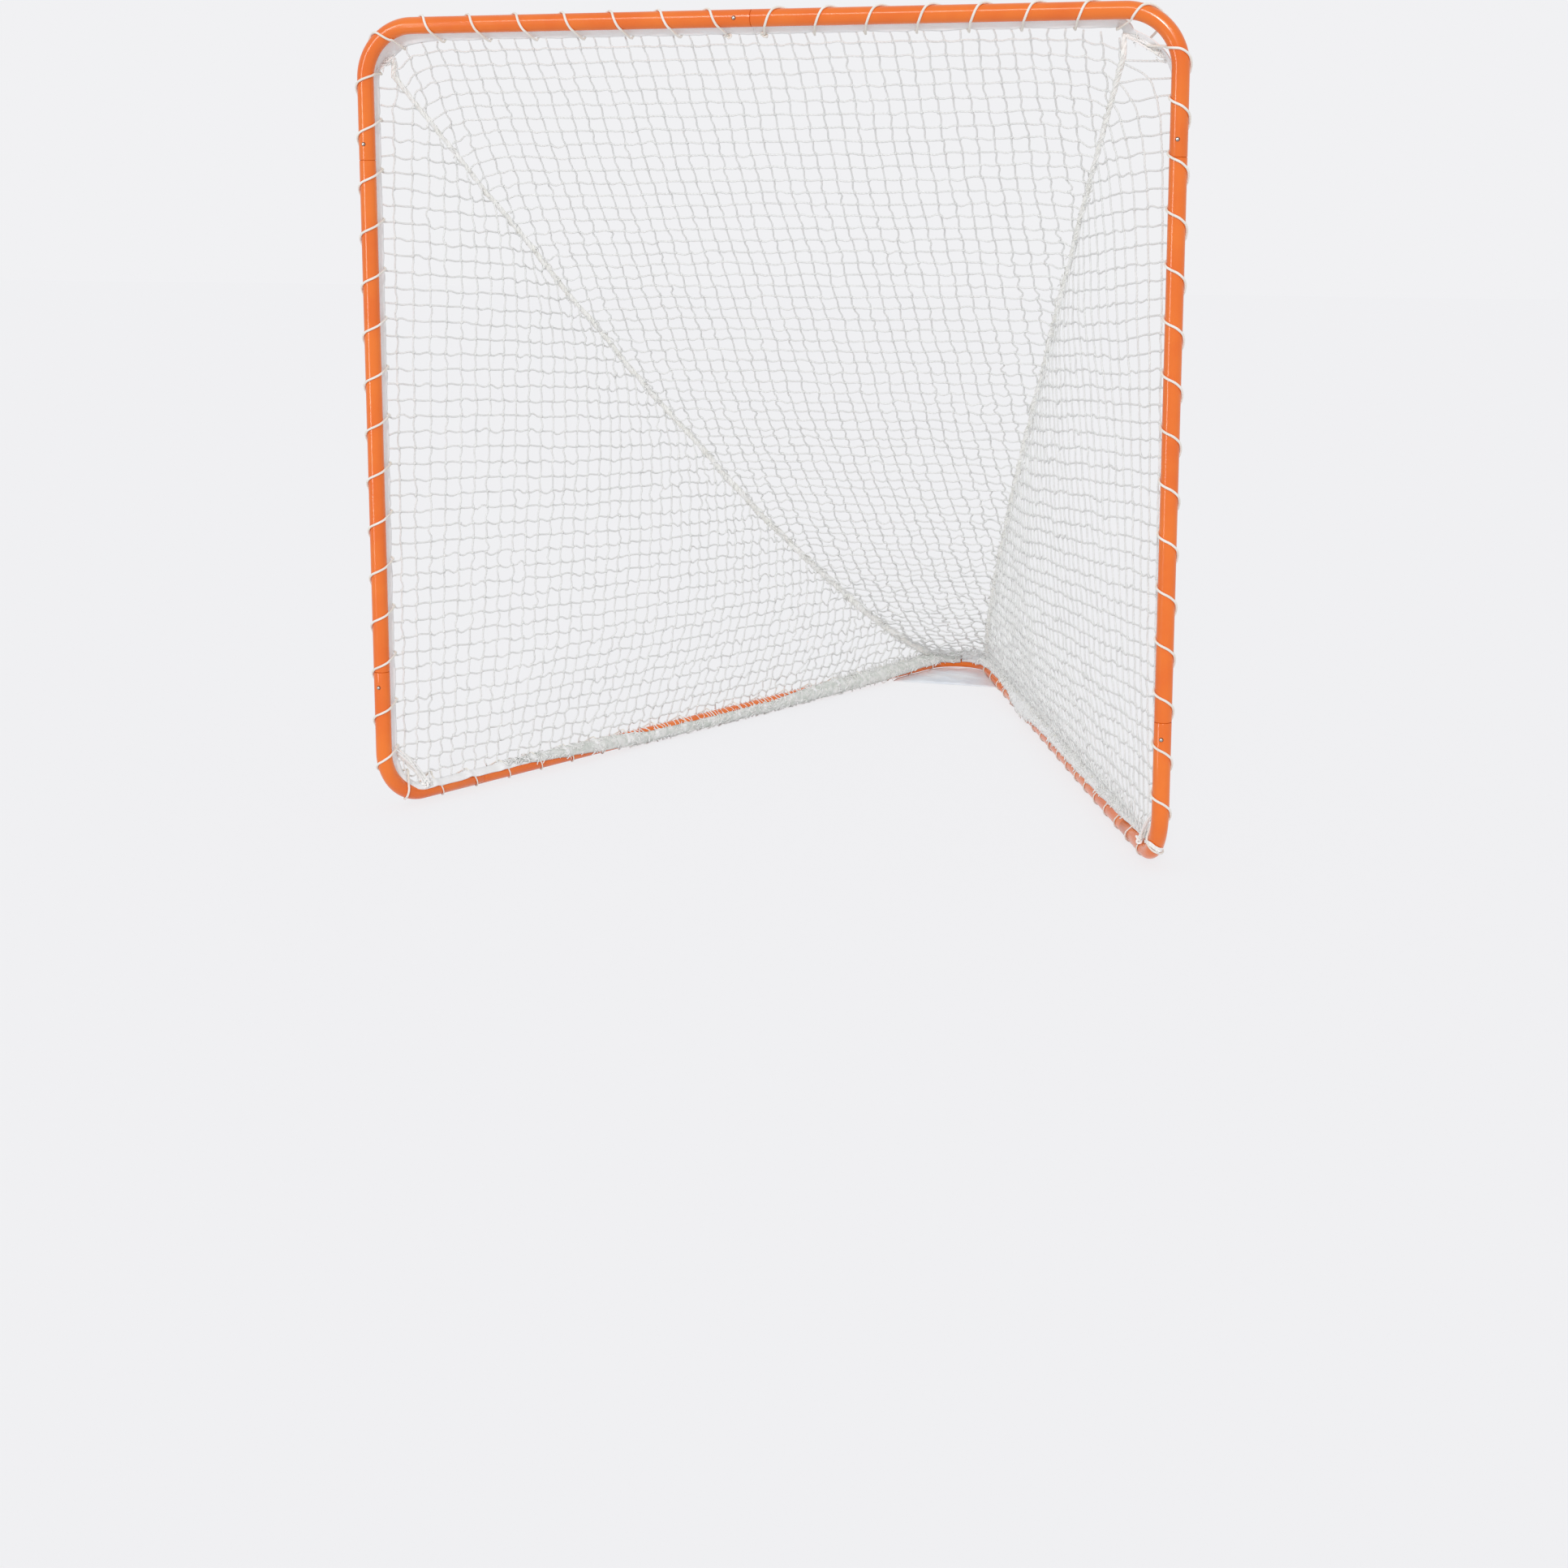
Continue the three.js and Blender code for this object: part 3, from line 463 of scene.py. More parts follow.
def swept(paths, radii, sides, facing):
    """Round cords along paths (cords, steps, 3), closed at both ends: points, faces and UVs.

    U runs along a cord in metres and V once round it; facing keeps the rings from twisting."""
    cords, steps = paths.shape[:2]
    radii = np.broadcast_to(radii, (cords, steps))
    along = unit(np.gradient(paths, axis=1))
    side = unit(np.cross(along, np.broadcast_to(facing, paths.shape)))
    out = np.cross(side, along)
    k = np.arange(sides)
    angles = 2 * math.pi * k / sides
    ring = np.cos(angles)[:, None] * side[:, :, None] + np.sin(angles)[:, None] * out[:, :, None]
    points = (paths[:, :, None] + radii[:, :, None, None] * ring).reshape(-1, 3)
    length = travelled(paths)
    first = (np.arange(cords)[:, None] * steps + np.arange(steps)) * sides
    quads, uvs = [], []
    for step, turn in ((0, 0), (1, 0), (1, 1), (0, 1)):
        here = slice(step, steps - 1 + step)
        quads.append(first[:, here, None] + (k + turn) % sides)
        uvs.append(np.stack(np.broadcast_arrays(length[:, here, None], (k + turn) / sides), -1))
    quads = np.stack(quads, -1).reshape(-1, 4)
    caps = np.concatenate([first[:, 0, None] + k, first[:, -1, None] + k[::-1]])
    cap_lengths = np.repeat(np.concatenate([length[:, 0], length[:, -1]]), sides)
    cap_uvs = np.stack([cap_lengths, np.full(len(cap_lengths), 0.5)], axis=-1)
    uvs = np.concatenate([np.stack(uvs, -2).reshape(-1, 2), cap_uvs])
    return points, quads.tolist() + caps.tolist(), uvs


def cord(path, radius, sides):
    path = np.asarray(path, float)
    return swept(path[None], radius, sides, turning_facing(path)[None])


def sheet(points, columns, places):
    """A sheet of points, row after row, with a UV in metres for each: points, faces and UVs."""
    rows = len(points) // columns
    first = (np.arange(rows - 1)[:, None] * columns + np.arange(columns - 1)).reshape(-1, 1)
    faces = first + np.array([0, 1, columns + 1, columns])
    return np.asarray(points), faces.tolist(), np.asarray(places)[faces.ravel()]


def strip_places(along, across):
    """The UVs of a strip's points, from metres along it and across it."""
    return np.stack(np.meshgrid(along, across, indexing="ij"), -1).reshape(-1, 2)


def gathered(parts):
    """Several (points, faces, uvs) as one."""
    all_points, all_faces, all_uvs = zip(*parts)
    faces, count = [], 0
    for points, part_faces in zip(all_points, all_faces):
        faces += [[i + count for i in face] for face in part_faces]
        count += len(points)
    return np.concatenate(all_points), faces, np.concatenate(all_uvs)


def add_piece(name, node, material, parts, thickness=0.0, offset=0):
    """A piece of the standing goal in place of its node; a sheet also gets its thickness."""
    points, faces, uvs = gathered(parts)
    mesh = bpy.data.meshes.new(name)
    mesh.from_pydata(points.tolist(), [], faces)
    mesh.uv_layers.new(name="UVMap").data.foreach_set("uv", np.asarray(uvs, np.float32).ravel())
    mesh.shade_smooth()
    mesh.materials.append(material)
    piece = bpy.data.objects.new(name, mesh)
    bpy.context.scene.collection.objects.link(piece)
    if thickness:
        body = piece.modifiers.new("thickness", "SOLIDIFY")
        body.thickness, body.offset = thickness, offset
        finish_modifiers(piece)
    return settle(piece, "goal_frame", node)


def smooth_line(points, steps):
    """A Catmull-Rom curve through points, with steps parts between two of them."""
    p = np.asarray(points, float)
    p = np.concatenate([[2 * p[0] - p[1]], p, [2 * p[-1] - p[-2]]])
    t = np.arange(steps)[:, None] / steps
    parts = []
    for a, b, c, d in zip(p, p[1:], p[2:], p[3:]):
        square, cube = 2 * a - 5 * b + 4 * c - d, 3 * b - a - 3 * c + d
        parts.append(0.5 * (2 * b + (c - a) * t + square * t**2 + cube * t**3))
    return np.concatenate([*parts, p[-2:-1]])


def turning_facing(path):
    """For one path, a direction at each point that stays square to it without spinning."""
    along = unit(np.gradient(path, axis=0))
    facing = np.zeros_like(path)
    start = np.cross(along[0], (0.3, 0.5, 0.8))
    facing[0] = start / np.linalg.norm(start)
    for i in range(1, len(path)):
        carried = facing[i - 1] - along[i] * np.dot(facing[i - 1], along[i])
        facing[i] = carried / np.linalg.norm(carried)
    return facing


def ripple(*place):
    """Smooth noise between about -1 and 1."""
    return noise.noise(Vector(place))


def drift(points, reach, wave, seed):
    """A smooth random shift of each point, up to about reach, over waves of that length."""
    offset = Vector((17.3 * seed, -9.1 * seed, 4.7 * seed))
    moved = [noise.noise_vector(Vector(p) / wave + offset) for p in points]
    return reach * np.asarray(moved, float).reshape(-1, 3)


def ease(share):
    share = min(max(share, 0.0), 1.0)
    return share * share * (3 - 2 * share)


# ---------------------------------------------------------------- joints
class Joint:
    """A spring-button joint: its own frame lies on the seam, X into the socket, Z out."""

    def __init__(self, name, side, seam, socket_sign, outward):
        point, tangent = ROUTES[side].place(seam)
        along = tangent * socket_sign
        out = (outward - along * outward.dot(along)).normalized()
        self.name, self.out = name, out
        self.frame = Matrix((along, out.cross(along), out)).transposed().to_4x4()
        self.frame.translation = point
        self.button = point + along * BUTTON_SETBACK


JOINTS = {"crossbar": Joint("crossbar", "left", 0.0, 1, FRONT)}
for side in SIGNS:
    for where, seam, socket, outward in (
        ("post_top", UPPER_JOINT, -1, FRONT),
        ("post_bottom", LOWER_JOINT, 1, FRONT),
        ("rail_front", FRONT_JOINT, -1, rail_outward(side)),
        ("rail_rear", REAR_JOINT, 1, rail_outward(side)),
    ):
        name = side + "_" + where
        JOINTS[name] = Joint(name, side, seam, socket, outward)


# ---------------------------------------------------------------- tubes
TUBE_SIDES = 48
BEND_STEPS = 24
BUTTON_SIDES = 32
# Points nearer to each other than this are one point.
TOUCHING = 1e-5


def drill(tube, joint):
    """The round hole for a joint's button, through one wall of the tube."""
    turned = joint.out.to_track_quat("Z", "Y").to_euler()
    middle = joint.button + joint.out * TUBE_RADIUS
    bit = add_rod(middle, BUTTON_HOLE_RADIUS, TUBE_RADIUS, BUTTON_SIDES, turned)
    hole = tube.modifiers.new("hole", "BOOLEAN")
    hole.operation, hole.object, hole.solver = "DIFFERENCE", bit, "EXACT"
    finish_modifiers(tube)
    bpy.data.objects.remove(bit)


def bent_tube(node, side, start, end, plugs, *joints):
    """One tube: a ring is drawn along the frame's line, walled, and drilled for its buttons.

    plugs says whether it narrows to a plug at its start, and at its end."""
    plug_at_start, plug_at_end = plugs
    route = ROUTES[side]
    start, end = start + SEAM_GAP / 2, end - SEAM_GAP / 2
    point, tangent = route.place(start)
    pick()
    bpy.ops.mesh.primitive_circle_add(
        vertices=TUBE_SIDES,
        radius=PLUG_RADIUS if plug_at_start else TUBE_RADIUS,
        location=point - tangent * PLUG_LENGTH if plug_at_start else point,
        rotation=tangent.to_track_quat("Z", "Y").to_euler(),
    )
    tube = bpy.context.object
    tube.name = tube.data.name = node + "_painted"
    place_in_mesh()
    bpy.ops.object.mode_set(mode="EDIT")
    here = start
    if plug_at_start:
        extrude_by(tangent * PLUG_LENGTH)
        centre = point + tangent * SHOULDER
        extrude_by(tangent * SHOULDER, TUBE_RADIUS / PLUG_RADIUS, centre)
        here += SHOULDER
    for bend in [b for b in route.bends if start < b["start"] and b["end"] < end]:
        extrude_by(route.place(bend["start"])[0] - route.place(here)[0])
        bpy.ops.mesh.spin(
            steps=BEND_STEPS, angle=-bend["turn"], center=bend["centre"], axis=bend["axis"]
        )
        here = bend["end"]
    stop, heading = route.place(end)
    last = end - SHOULDER if plug_at_end else end
    extrude_by(route.place(last)[0] - route.place(here)[0])
    if plug_at_end:
        extrude_by(heading * SHOULDER, PLUG_RADIUS / TUBE_RADIUS, stop)
        extrude_by(heading * PLUG_LENGTH)
    bpy.ops.mesh.select_all(action="SELECT")
    bpy.ops.mesh.remove_doubles(threshold=TOUCHING)
    bpy.ops.mesh.normals_make_consistent(inside=False)
    bpy.ops.object.mode_set(mode="OBJECT")
    wall = tube.modifiers.new("wall", "SOLIDIFY")
    wall.thickness, wall.offset, wall.use_even_offset = TUBE_WALL, -1, True
    round_edges(tube, TUBE_EDGE, 60)
    finish_modifiers(tube)
    for joint in joints:
        drill(tube, JOINTS[joint])
    coat(tube, PAINT, 35)
    settle(tube, "goal_frame", node)


# The posts and rails are plugged at both ends, and one half of the crossbar goes into the other.
SOCKETS, PLUGS = (False, False), (True, True)
for side in SIGNS:
    top, bottom = side + "_post_top", side + "_post_bottom"
    front, rear = side + "_rail_front", side + "_rail_rear"
    halves = (side == "right", False)
    bent_tube(side + "_upper_corner_tube", side, 0, UPPER_JOINT, halves, "crossbar", top)
    bent_tube(side + "_post_tube", side, UPPER_JOINT, LOWER_JOINT, PLUGS, top, bottom)
    bent_tube(side + "_lower_corner_tube", side, LOWER_JOINT, FRONT_JOINT, SOCKETS, bottom, front)
    bent_tube(side + "_base_rail", side, FRONT_JOINT, REAR_JOINT, PLUGS, front, rear)
rears = "left_rail_rear", "right_rail_rear"
bent_tube("rear_apex_tube", "left", REAR_JOINT, 2 * APEX_MIDDLE - REAR_JOINT, SOCKETS, *rears)


# ---------------------------------------------------------------- spring buttons
def spring_strip(near, far_height):
    """A flat strip from near the pivot to a height at its far end, in the joint's frame."""
    run, rise = SPRING_REACH - SPRING_PIVOT.x, far_height - SPRING_PIVOT.z
    slope = math.atan2(rise, run)
    length = math.hypot(run, rise) - near
    middle = SPRING_PIVOT + Vector((math.cos(slope), 0, math.sin(slope))) * (near + length / 2)
    pick()
    bpy.ops.mesh.primitive_cube_add(size=1, location=middle, rotation=(0, -slope, 0))
    strip = bpy.context.object
    strip.scale = (length, SPRING_WIDTH, SPRING_THICKNESS)
    place_in_mesh()
    return strip


def strip_height(gap):
    """How far from the plug's middle a strip lies that stays a gap clear of its bore."""
    flats = PLUG_BORE * math.cos(math.pi / 16)
    return math.sqrt(flats**2 - (SPRING_WIDTH / 2) ** 2) - gap - SPRING_THICKNESS / 2


def joined_piece(name, *parts):
    pick(*parts)
    bpy.ops.object.join()
    piece = bpy.context.object
    piece.name = piece.data.name = name
    round_edges(piece, SPRING_EDGE, 50)
    finish_modifiers(piece)
    coat(piece, STEEL, 40)
    return piece


def snap_button_model():
    """A dome on a post, riveted to the free end of its spring arm."""
    arm_height = strip_height(ARM_GAP)
    arm = spring_strip(SPRING_ROLL + ROLL_GAP, arm_height)
    share = (BUTTON_SETBACK - SPRING_PIVOT.x) / (SPRING_REACH - SPRING_PIVOT.x)
    root = SPRING_PIVOT.z + (arm_height - SPRING_PIVOT.z) * share
    top = TUBE_RADIUS + BUTTON_PROUD
    middle = (BUTTON_SETBACK, 0, (top + root) / 2)
    post = add_rod(middle, BUTTON_RADIUS, top - root, BUTTON_SIDES)
    bpy.ops.object.mode_set(mode="EDIT")
    bpy.ops.mesh.select_all(action="DESELECT")
    bpy.ops.object.mode_set(mode="OBJECT")
    for edge in post.data.edges:
        edge.select = all(post.data.vertices[i].co.z > top - TOUCHING for i in edge.vertices)
    bpy.ops.object.mode_set(mode="EDIT")
    bpy.ops.mesh.bevel(offset=BUTTON_DOME, segments=6, profile=0.5, affect="EDGES")
    bpy.ops.object.mode_set(mode="OBJECT")
    return joined_piece("snap_button_model", post, arm)


def snap_spring_model():
    """The fixed leg of the clip, with the roll round which the arm springs."""
    leg = spring_strip(0, -strip_height(LEG_GAP))
    roll = add_rod(SPRING_PIVOT, SPRING_ROLL, SPRING_WIDTH, 24, (math.pi / 2, 0, 0))
    return joined_piece("snap_spring_model", leg, roll)


def fit_clips():
    button, spring = snap_button_model(), snap_spring_model()
    for joint in JOINTS.values():
        for model, kind, body in (
            (button, "snap_button_", "button_" + joint.name),
            (spring, "snap_spring_", "goal_frame"),
        ):
            node = kind + joint.name
            piece = bpy.data.objects.new(node + "_plated", model.data.copy())
            bpy.context.scene.collection.objects.link(piece)
            piece.data.transform(joint.frame)
            settle(piece, body, node)
    bpy.data.objects.remove(button)
    bpy.data.objects.remove(spring)


fit_clips()


# ---------------------------------------------------------------- net
SEAM_SKEW = -0.22
CORNER_RISE = 0.042
# A side panel billows by this much, or this share of its depth, but less in its lowest part.
BILLOW, BILLOW_SHARE, BILLOW_RISE = 0.042, 0.07, 0.3
# How far from an edge the folds fade out, and from a seam the net is pulled slack.
FOLD_FADE, SEAM_PULL = 0.15, 0.12
BROAD_FOLD, SMALL_FOLD = 0.45, 0.11
STEPS_PER_MESH = 6
SHORTEST_TWINE = 0.012
# Within a mesh, twine usually leans, bends to an S and bulges by this much; level twine sags.
TWINE_SWAYS = 0.0021, 0.0017, 0.0018
LEVEL_SAG = 0.0020
KNOT_CLEARANCE = 0.006
KNOT_LIFT = 0.0009
KNOT_RADII = np.array([0.0014, 0.0029, 0.0029, 0.0014])
# How far a knot's turns reach from its middle.
KNOT_REACHES = 0.0040, 0.0050
# How far the slack moves each panel.
LEFT_SLACK, RIGHT_SLACK, BACK_SLACK = 0.007, 0.015, 0.009


def bow(share):
    """A bow from 0 through about 1 and back to 0, deeper in the seam's lower half."""
    return 4 * share * (1 - share) * (1 + SEAM_SKEW * (1 - 2 * share))


def seam_height(side, share):
    drop = RAIL_Z + SEAM_END_ABOVE_RAIL - SEAM_TOP_Z[side]
    return SEAM_TOP_Z[side] + drop * share - SEAM_SAG * bow(share)


def seam_inward(side, share):
    return SEAM_TOP_INWARD[side] * (1 - share) + SEAM_BOW * bow(share)


def end_run(side):
    """Where the seam ends on the rail: half way between two passes of the lacing."""
    start = LACING_STARTS[side]
    meshes = round((APEX_TURN["start"] - start - MESH / 2) / MESH)
    return start + (meshes + 0.5) * MESH - RAIL_START


def seam_run(side, share):
    return SEAM_TOP_RUN + (end_run(side) - SEAM_TOP_RUN) * share


def side_point(side, run, height, inward):
    sign = SIGNS[side]
    rail = rail_direction(sign)
    run, height, inward = np.broadcast_arrays(run, height, inward)
    x = sign * HALF_SPAN + rail.x * run - sign * inward
    return np.stack([x, MOUTH_Y + rail.y * run, height], axis=-1)


def seam_line(side, share):
    height, inward = seam_height(side, share), seam_inward(side, share)
    return side_point(side, seam_run(side, share), height, inward)


NET_CORNER = {side: Vector(seam_line(side, np.zeros(1))[0]) + UP * CORNER_RISE for side in SIGNS}


class Panel:
    """What the net's panels share: slack that grows towards the ground and towards the seams."""

    def looseness(self, u, v):
        pull = np.exp(-self.seam_distance(u, v) / SEAM_PULL)
        return 0.55 + 0.8 * self.lowness(v) + 0.8 * pull


class SidePanel(Panel):
    """Between post, rail and seam: rows drawn from the post to the seam, drooping as they go.

    u runs along the rail from the post; v is the height at which a row leaves the post."""

    def __init__(self, side):
        self.side, self.first, self.low = side, NET_EDGE, RAIL_Z + NET_FOOT
        share = np.linspace(0, 1, 400)
        self.runs = seam_run(side, share)
        self.edge, self.inward = seam_height(side, share), seam_inward(side, share)
        self.edge_rows = self.low + (self.edge - self.low) / self.droop(self.runs)
        self.facing = np.array(rail_outward(side))
        self.flutter = {"left": 0.8, "right": 0.3}[side]

    def droop(self, u):
        return 1 - ROW_DROOP * (u - self.first)

    def height(self, u, v):
        return self.low + (v - self.low) * self.droop(u)

    def surface(self, u, v):
        height = self.height(u, v)
        run, inward = (np.interp(-height, -self.edge, a) for a in (self.runs, self.inward))
        share = np.clip((u - self.first) / (run - self.first), 0, 1.05)
        billow = np.minimum(BILLOW, BILLOW_SHARE * run)
        billow = billow * np.clip((height - self.low) / BILLOW_RISE, 0, 1)
        return side_point(self.side, u, height, inward * share + billow * 4 * share * (1 - share))

    def column_ends(self, u):
        return self.low, float(np.interp(u, self.runs, self.edge_rows))

    def row_ends(self, v):
        return self.first, float(np.interp(-v, -self.edge_rows, self.runs))

    def columns(self):
        return np.arange(self.first + MESH * 0.6, self.runs[-1], MESH)

    def rows(self):
        return np.arange(self.low + MESH * 0.7, self.edge[0], MESH)

    def seam_distance(self, u, v):
        return 0.75 * (np.interp(u, self.runs, self.edge) - self.height(u, v))

    def inset(self, u, v):
        return np.minimum(np.minimum(u - self.first, v - self.low), self.seam_distance(u, v))

    def lowness(self, v):
        return 1 - v / CROSSBAR_Z


class BackPanel(Panel):
    """Between crossbar and seams. u is the distance right of the middle, v down the slope."""

    def __init__(self):
        self.rail = rail_direction(1)
        self.top_depth = NET_EDGE * math.cos(NET_SLOPE)
        self.top_height = CROSSBAR_Z - NET_EDGE * math.sin(NET_SLOPE)
        self.depths = np.linspace(self.top_depth, min(map(end_run, SIGNS)) * self.rail.y, 600)
        self.slopes = travelled(self.at_depth(np.zeros(600), self.depths))
        self.facing = np.array([0, 0.75, 0.66])
        self.flutter = 1.0

    def share(self, side, depth):
        """How far down a seam the net has come at a depth behind the mouth."""
        run = depth / self.rail.y - SEAM_TOP_RUN
        return np.minimum(run / (end_run(side) - SEAM_TOP_RUN), 1.0)

    def reach(self, side, depth):
        spread = HALF_SPAN + self.rail.x * depth / self.rail.y
        return spread - seam_inward(side, self.share(side, depth))

    def at_depth(self, across, depth):
        left, right = self.reach("left", depth), self.reach("right", depth)
        blend = np.clip((across + left) / (left + right), 0, 1)

        def between(at):
            one, other = (seam_height(side, self.share(side, at)) for side in SIGNS)
            return one * (1 - blend) + other * blend

        rise = self.top_height - between(self.top_depth)
        from_top = 1 - np.clip(self.share("left", depth), 0, 1)
        lift = rise * from_top**6 * (1 - np.abs(2 * blend - 1) ** 20)
        return np.stack([across, MOUTH_Y + depth, between(depth) + lift], axis=-1)

    def depth_at(self, v):
        return np.interp(v, self.slopes, self.depths)

    def surface(self, u, v):
        u, v = np.broadcast_arrays(u, v)
        return self.at_depth(u, self.depth_at(v))

    def column_ends(self, u):
        reach = self.reach("left" if u < 0 else "right", self.depths)
        outside = np.nonzero(reach < abs(u))[0]
        return 0.0, float(self.slopes[outside[0] if len(outside) else -1])

    def row_ends(self, v):
        depth = float(self.depth_at(v))
        return -float(self.reach("left", depth)), float(self.reach("right", depth))

    def columns(self):
        left, right = self.row_ends(0)
        return np.arange(math.ceil(left / MESH), math.floor(right / MESH) + 1) * MESH

    def rows(self):
        return np.arange(MESH * 0.7, self.slopes[-1], MESH)

    def seam_distance(self, u, v):
        left, right = (self.reach(side, self.depth_at(v)) for side in SIGNS)
        return np.where(u < 0, left, right) - np.abs(u)

    def inset(self, u, v):
        return np.minimum(np.minimum(v, self.slopes[-1] - v), self.seam_distance(u, v))

    def lowness(self, v):
        return v / self.slopes[-1]


def hung(panel, u, v, slack, seed):
    """The panel's surface at u and v with the net's slack: broad folds and small ones."""
    points = panel.surface(u, v)
    fade = np.clip(panel.inset(u, v) / FOLD_FADE, 0, 1)[:, None] ** 0.7
    broad = drift(points, slack, BROAD_FOLD, seed)
    small = drift(points, slack * 0.45, SMALL_FOLD, seed + 5)
    moved = (broad + small) * fade
    return points + moved - np.outer(moved @ panel.facing, panel.facing) * (1 - panel.flutter)


def panel_twine(panel, fixed, ends, knots, level, slack, seed, rng):
    """One twine across the panel: through its knots, with a slack wave in each mesh."""
    low, high = ends
    if high - low < SHORTEST_TWINE:
        return None
    first, last = ((end - knots[0]) / MESH * STEPS_PER_MESH for end in ends)
    inner = np.arange(math.ceil(first + 0.3), math.floor(last - 0.3) + 1)
    steps = np.concatenate([[low], knots[0] + inner * MESH / STEPS_PER_MESH, [high]])
    held = np.full(len(steps), fixed)
    u, v = (steps, held) if level else (held, steps)
    path = hung(panel, u, v, slack, seed)
    place = (steps - knots[0]) / MESH
    mesh = np.floor(place).astype(int)
    mesh -= mesh.min()
    t = place - np.floor(place)
    arch = np.sin(math.pi * t)
    lean, ess, bulge = (rng.normal(0, sway, mesh.max() + 1)[mesh] for sway in TWINE_SWAYS)
    sideways = (lean * arch + ess * np.sin(2 * math.pi * t))[:, None]
    outward = (panel.flutter * bulge * arch)[:, None]
    down = (LEVEL_SAG if level else 0.0) * arch[:, None]
    across = unit(np.cross(unit(np.gradient(path, axis=0)), panel.facing))
    moved = across * sideways + panel.facing * outward - np.array(UP) * down
    return path + moved * panel.looseness(u, v)[:, None]


def net_knots(panel, columns, rows, slack, seed, rng):
    """Sheet-bend knots: two short fat turns of twine that cross at each meeting of twines."""
    places = []
    for u in columns:
        low, high = panel.column_ends(u)
        for v in rows:
            left, right = panel.row_ends(v)
            if min(v - low, high - v, u - left, right - u) > KNOT_CLEARANCE:
                places.append((u, v))
    u, v = np.array(places).T
    middle = hung(panel, u, v, slack, seed)
    near, far = KNOT_REACHES
    by_u = unit(panel.surface(u + near, v) - panel.surface(u - near, v))
    by_v = unit(panel.surface(u, v + near) - panel.surface(u, v - near))
    facing = unit(np.cross(by_u, by_v))
    parts = []
    for lean in (1, -1):
        turn = rng.normal(0.75 * lean, 0.25, len(u))[:, None]
        direction = by_u * np.cos(turn) + by_v * np.sin(turn)
        size = rng.uniform(near, far, len(u))[:, None]
        lifted = middle + facing * (KNOT_LIFT * lean)
        path = [lifted + direction * size * s for s in (-1.0, -0.45, 0.45, 1.0)]
        parts.append(swept(np.stack(path, axis=1), KNOT_RADII, 5, facing[:, None]))
    return parts


def weave_net(node, panel, slack, seed):
    rng = np.random.default_rng(seed)
    columns, rows = panel.columns(), panel.rows()
    for label, fixed_at, ends_of, knots, level in (
        ("_upright_twines", columns, panel.column_ends, rows, False),
        ("_level_twines", rows, panel.row_ends, columns, True),
    ):
        parts = []
        for at in fixed_at:
            path = panel_twine(panel, at, ends_of(at), knots, level, slack, seed, rng)
            if path is not None:
                parts.append(swept(path[None], TWINE_RADIUS, 6, panel.facing))
        add_piece(node + label, node, TWINE, parts)
    parts = net_knots(panel, columns, rows, slack, seed, rng)
    add_piece(node + "_knots", node, TWINE, parts)


weave_net("left_side_net", SidePanel("left"), LEFT_SLACK, 11)
weave_net("right_side_net", SidePanel("right"), RIGHT_SLACK, 23)
weave_net("back_net", BackPanel(), BACK_SLACK, 37)


def short_ends(middles, directions, bows, lengths, radius, tip=0.6):
    """Short bits of twine: each from a middle point along a direction, bowed to one side."""
    places = np.array([-0.5, -0.2, 0.2, 0.5])[None, :, None]
    lift = np.array([0.0, 1.0, 1.0, 0.0])[None, :, None]
    along = directions[:, None] * lengths[:, None, None] * places
    paths = middles[:, None] + along + bows[:, None] * lift
    facing = np.cross(directions, np.array([0.36, 0.48, 0.8]) + 0.2 * directions[:, ::-1])
    return swept(paths, radius * np.array([1.0, 1.0, 0.9, tip]), 4, unit(facing)[:, None])


# ---------------------------------------------------------------- seams
# The rope's radius at the top, and how much it grows towards the apex.
SEAM_BULK = {"left": (0.0042, 0.0066), "right": (0.0050, 0.0044)}
# What it has more at its very top, and the share of the seam over which that fades.
TOP_BULK, TOP_FADE = 0.0012, 0.03
SEAM_DRIFT, SEAM_WAVE = 0.005, 0.12
SEAM_STRANDS = 5
SEAM_LAY = 0.11
STRAND_RADIUS, STRAND_GROWTH = 0.0019, 0.0008
SEAM_FRAYS = 190
FRAY_LENGTHS = 0.010, 0.024
FRAY_RADIUS, FRAY_LIFT, FRAY_BOW = 0.0014, 0.0012, 0.003


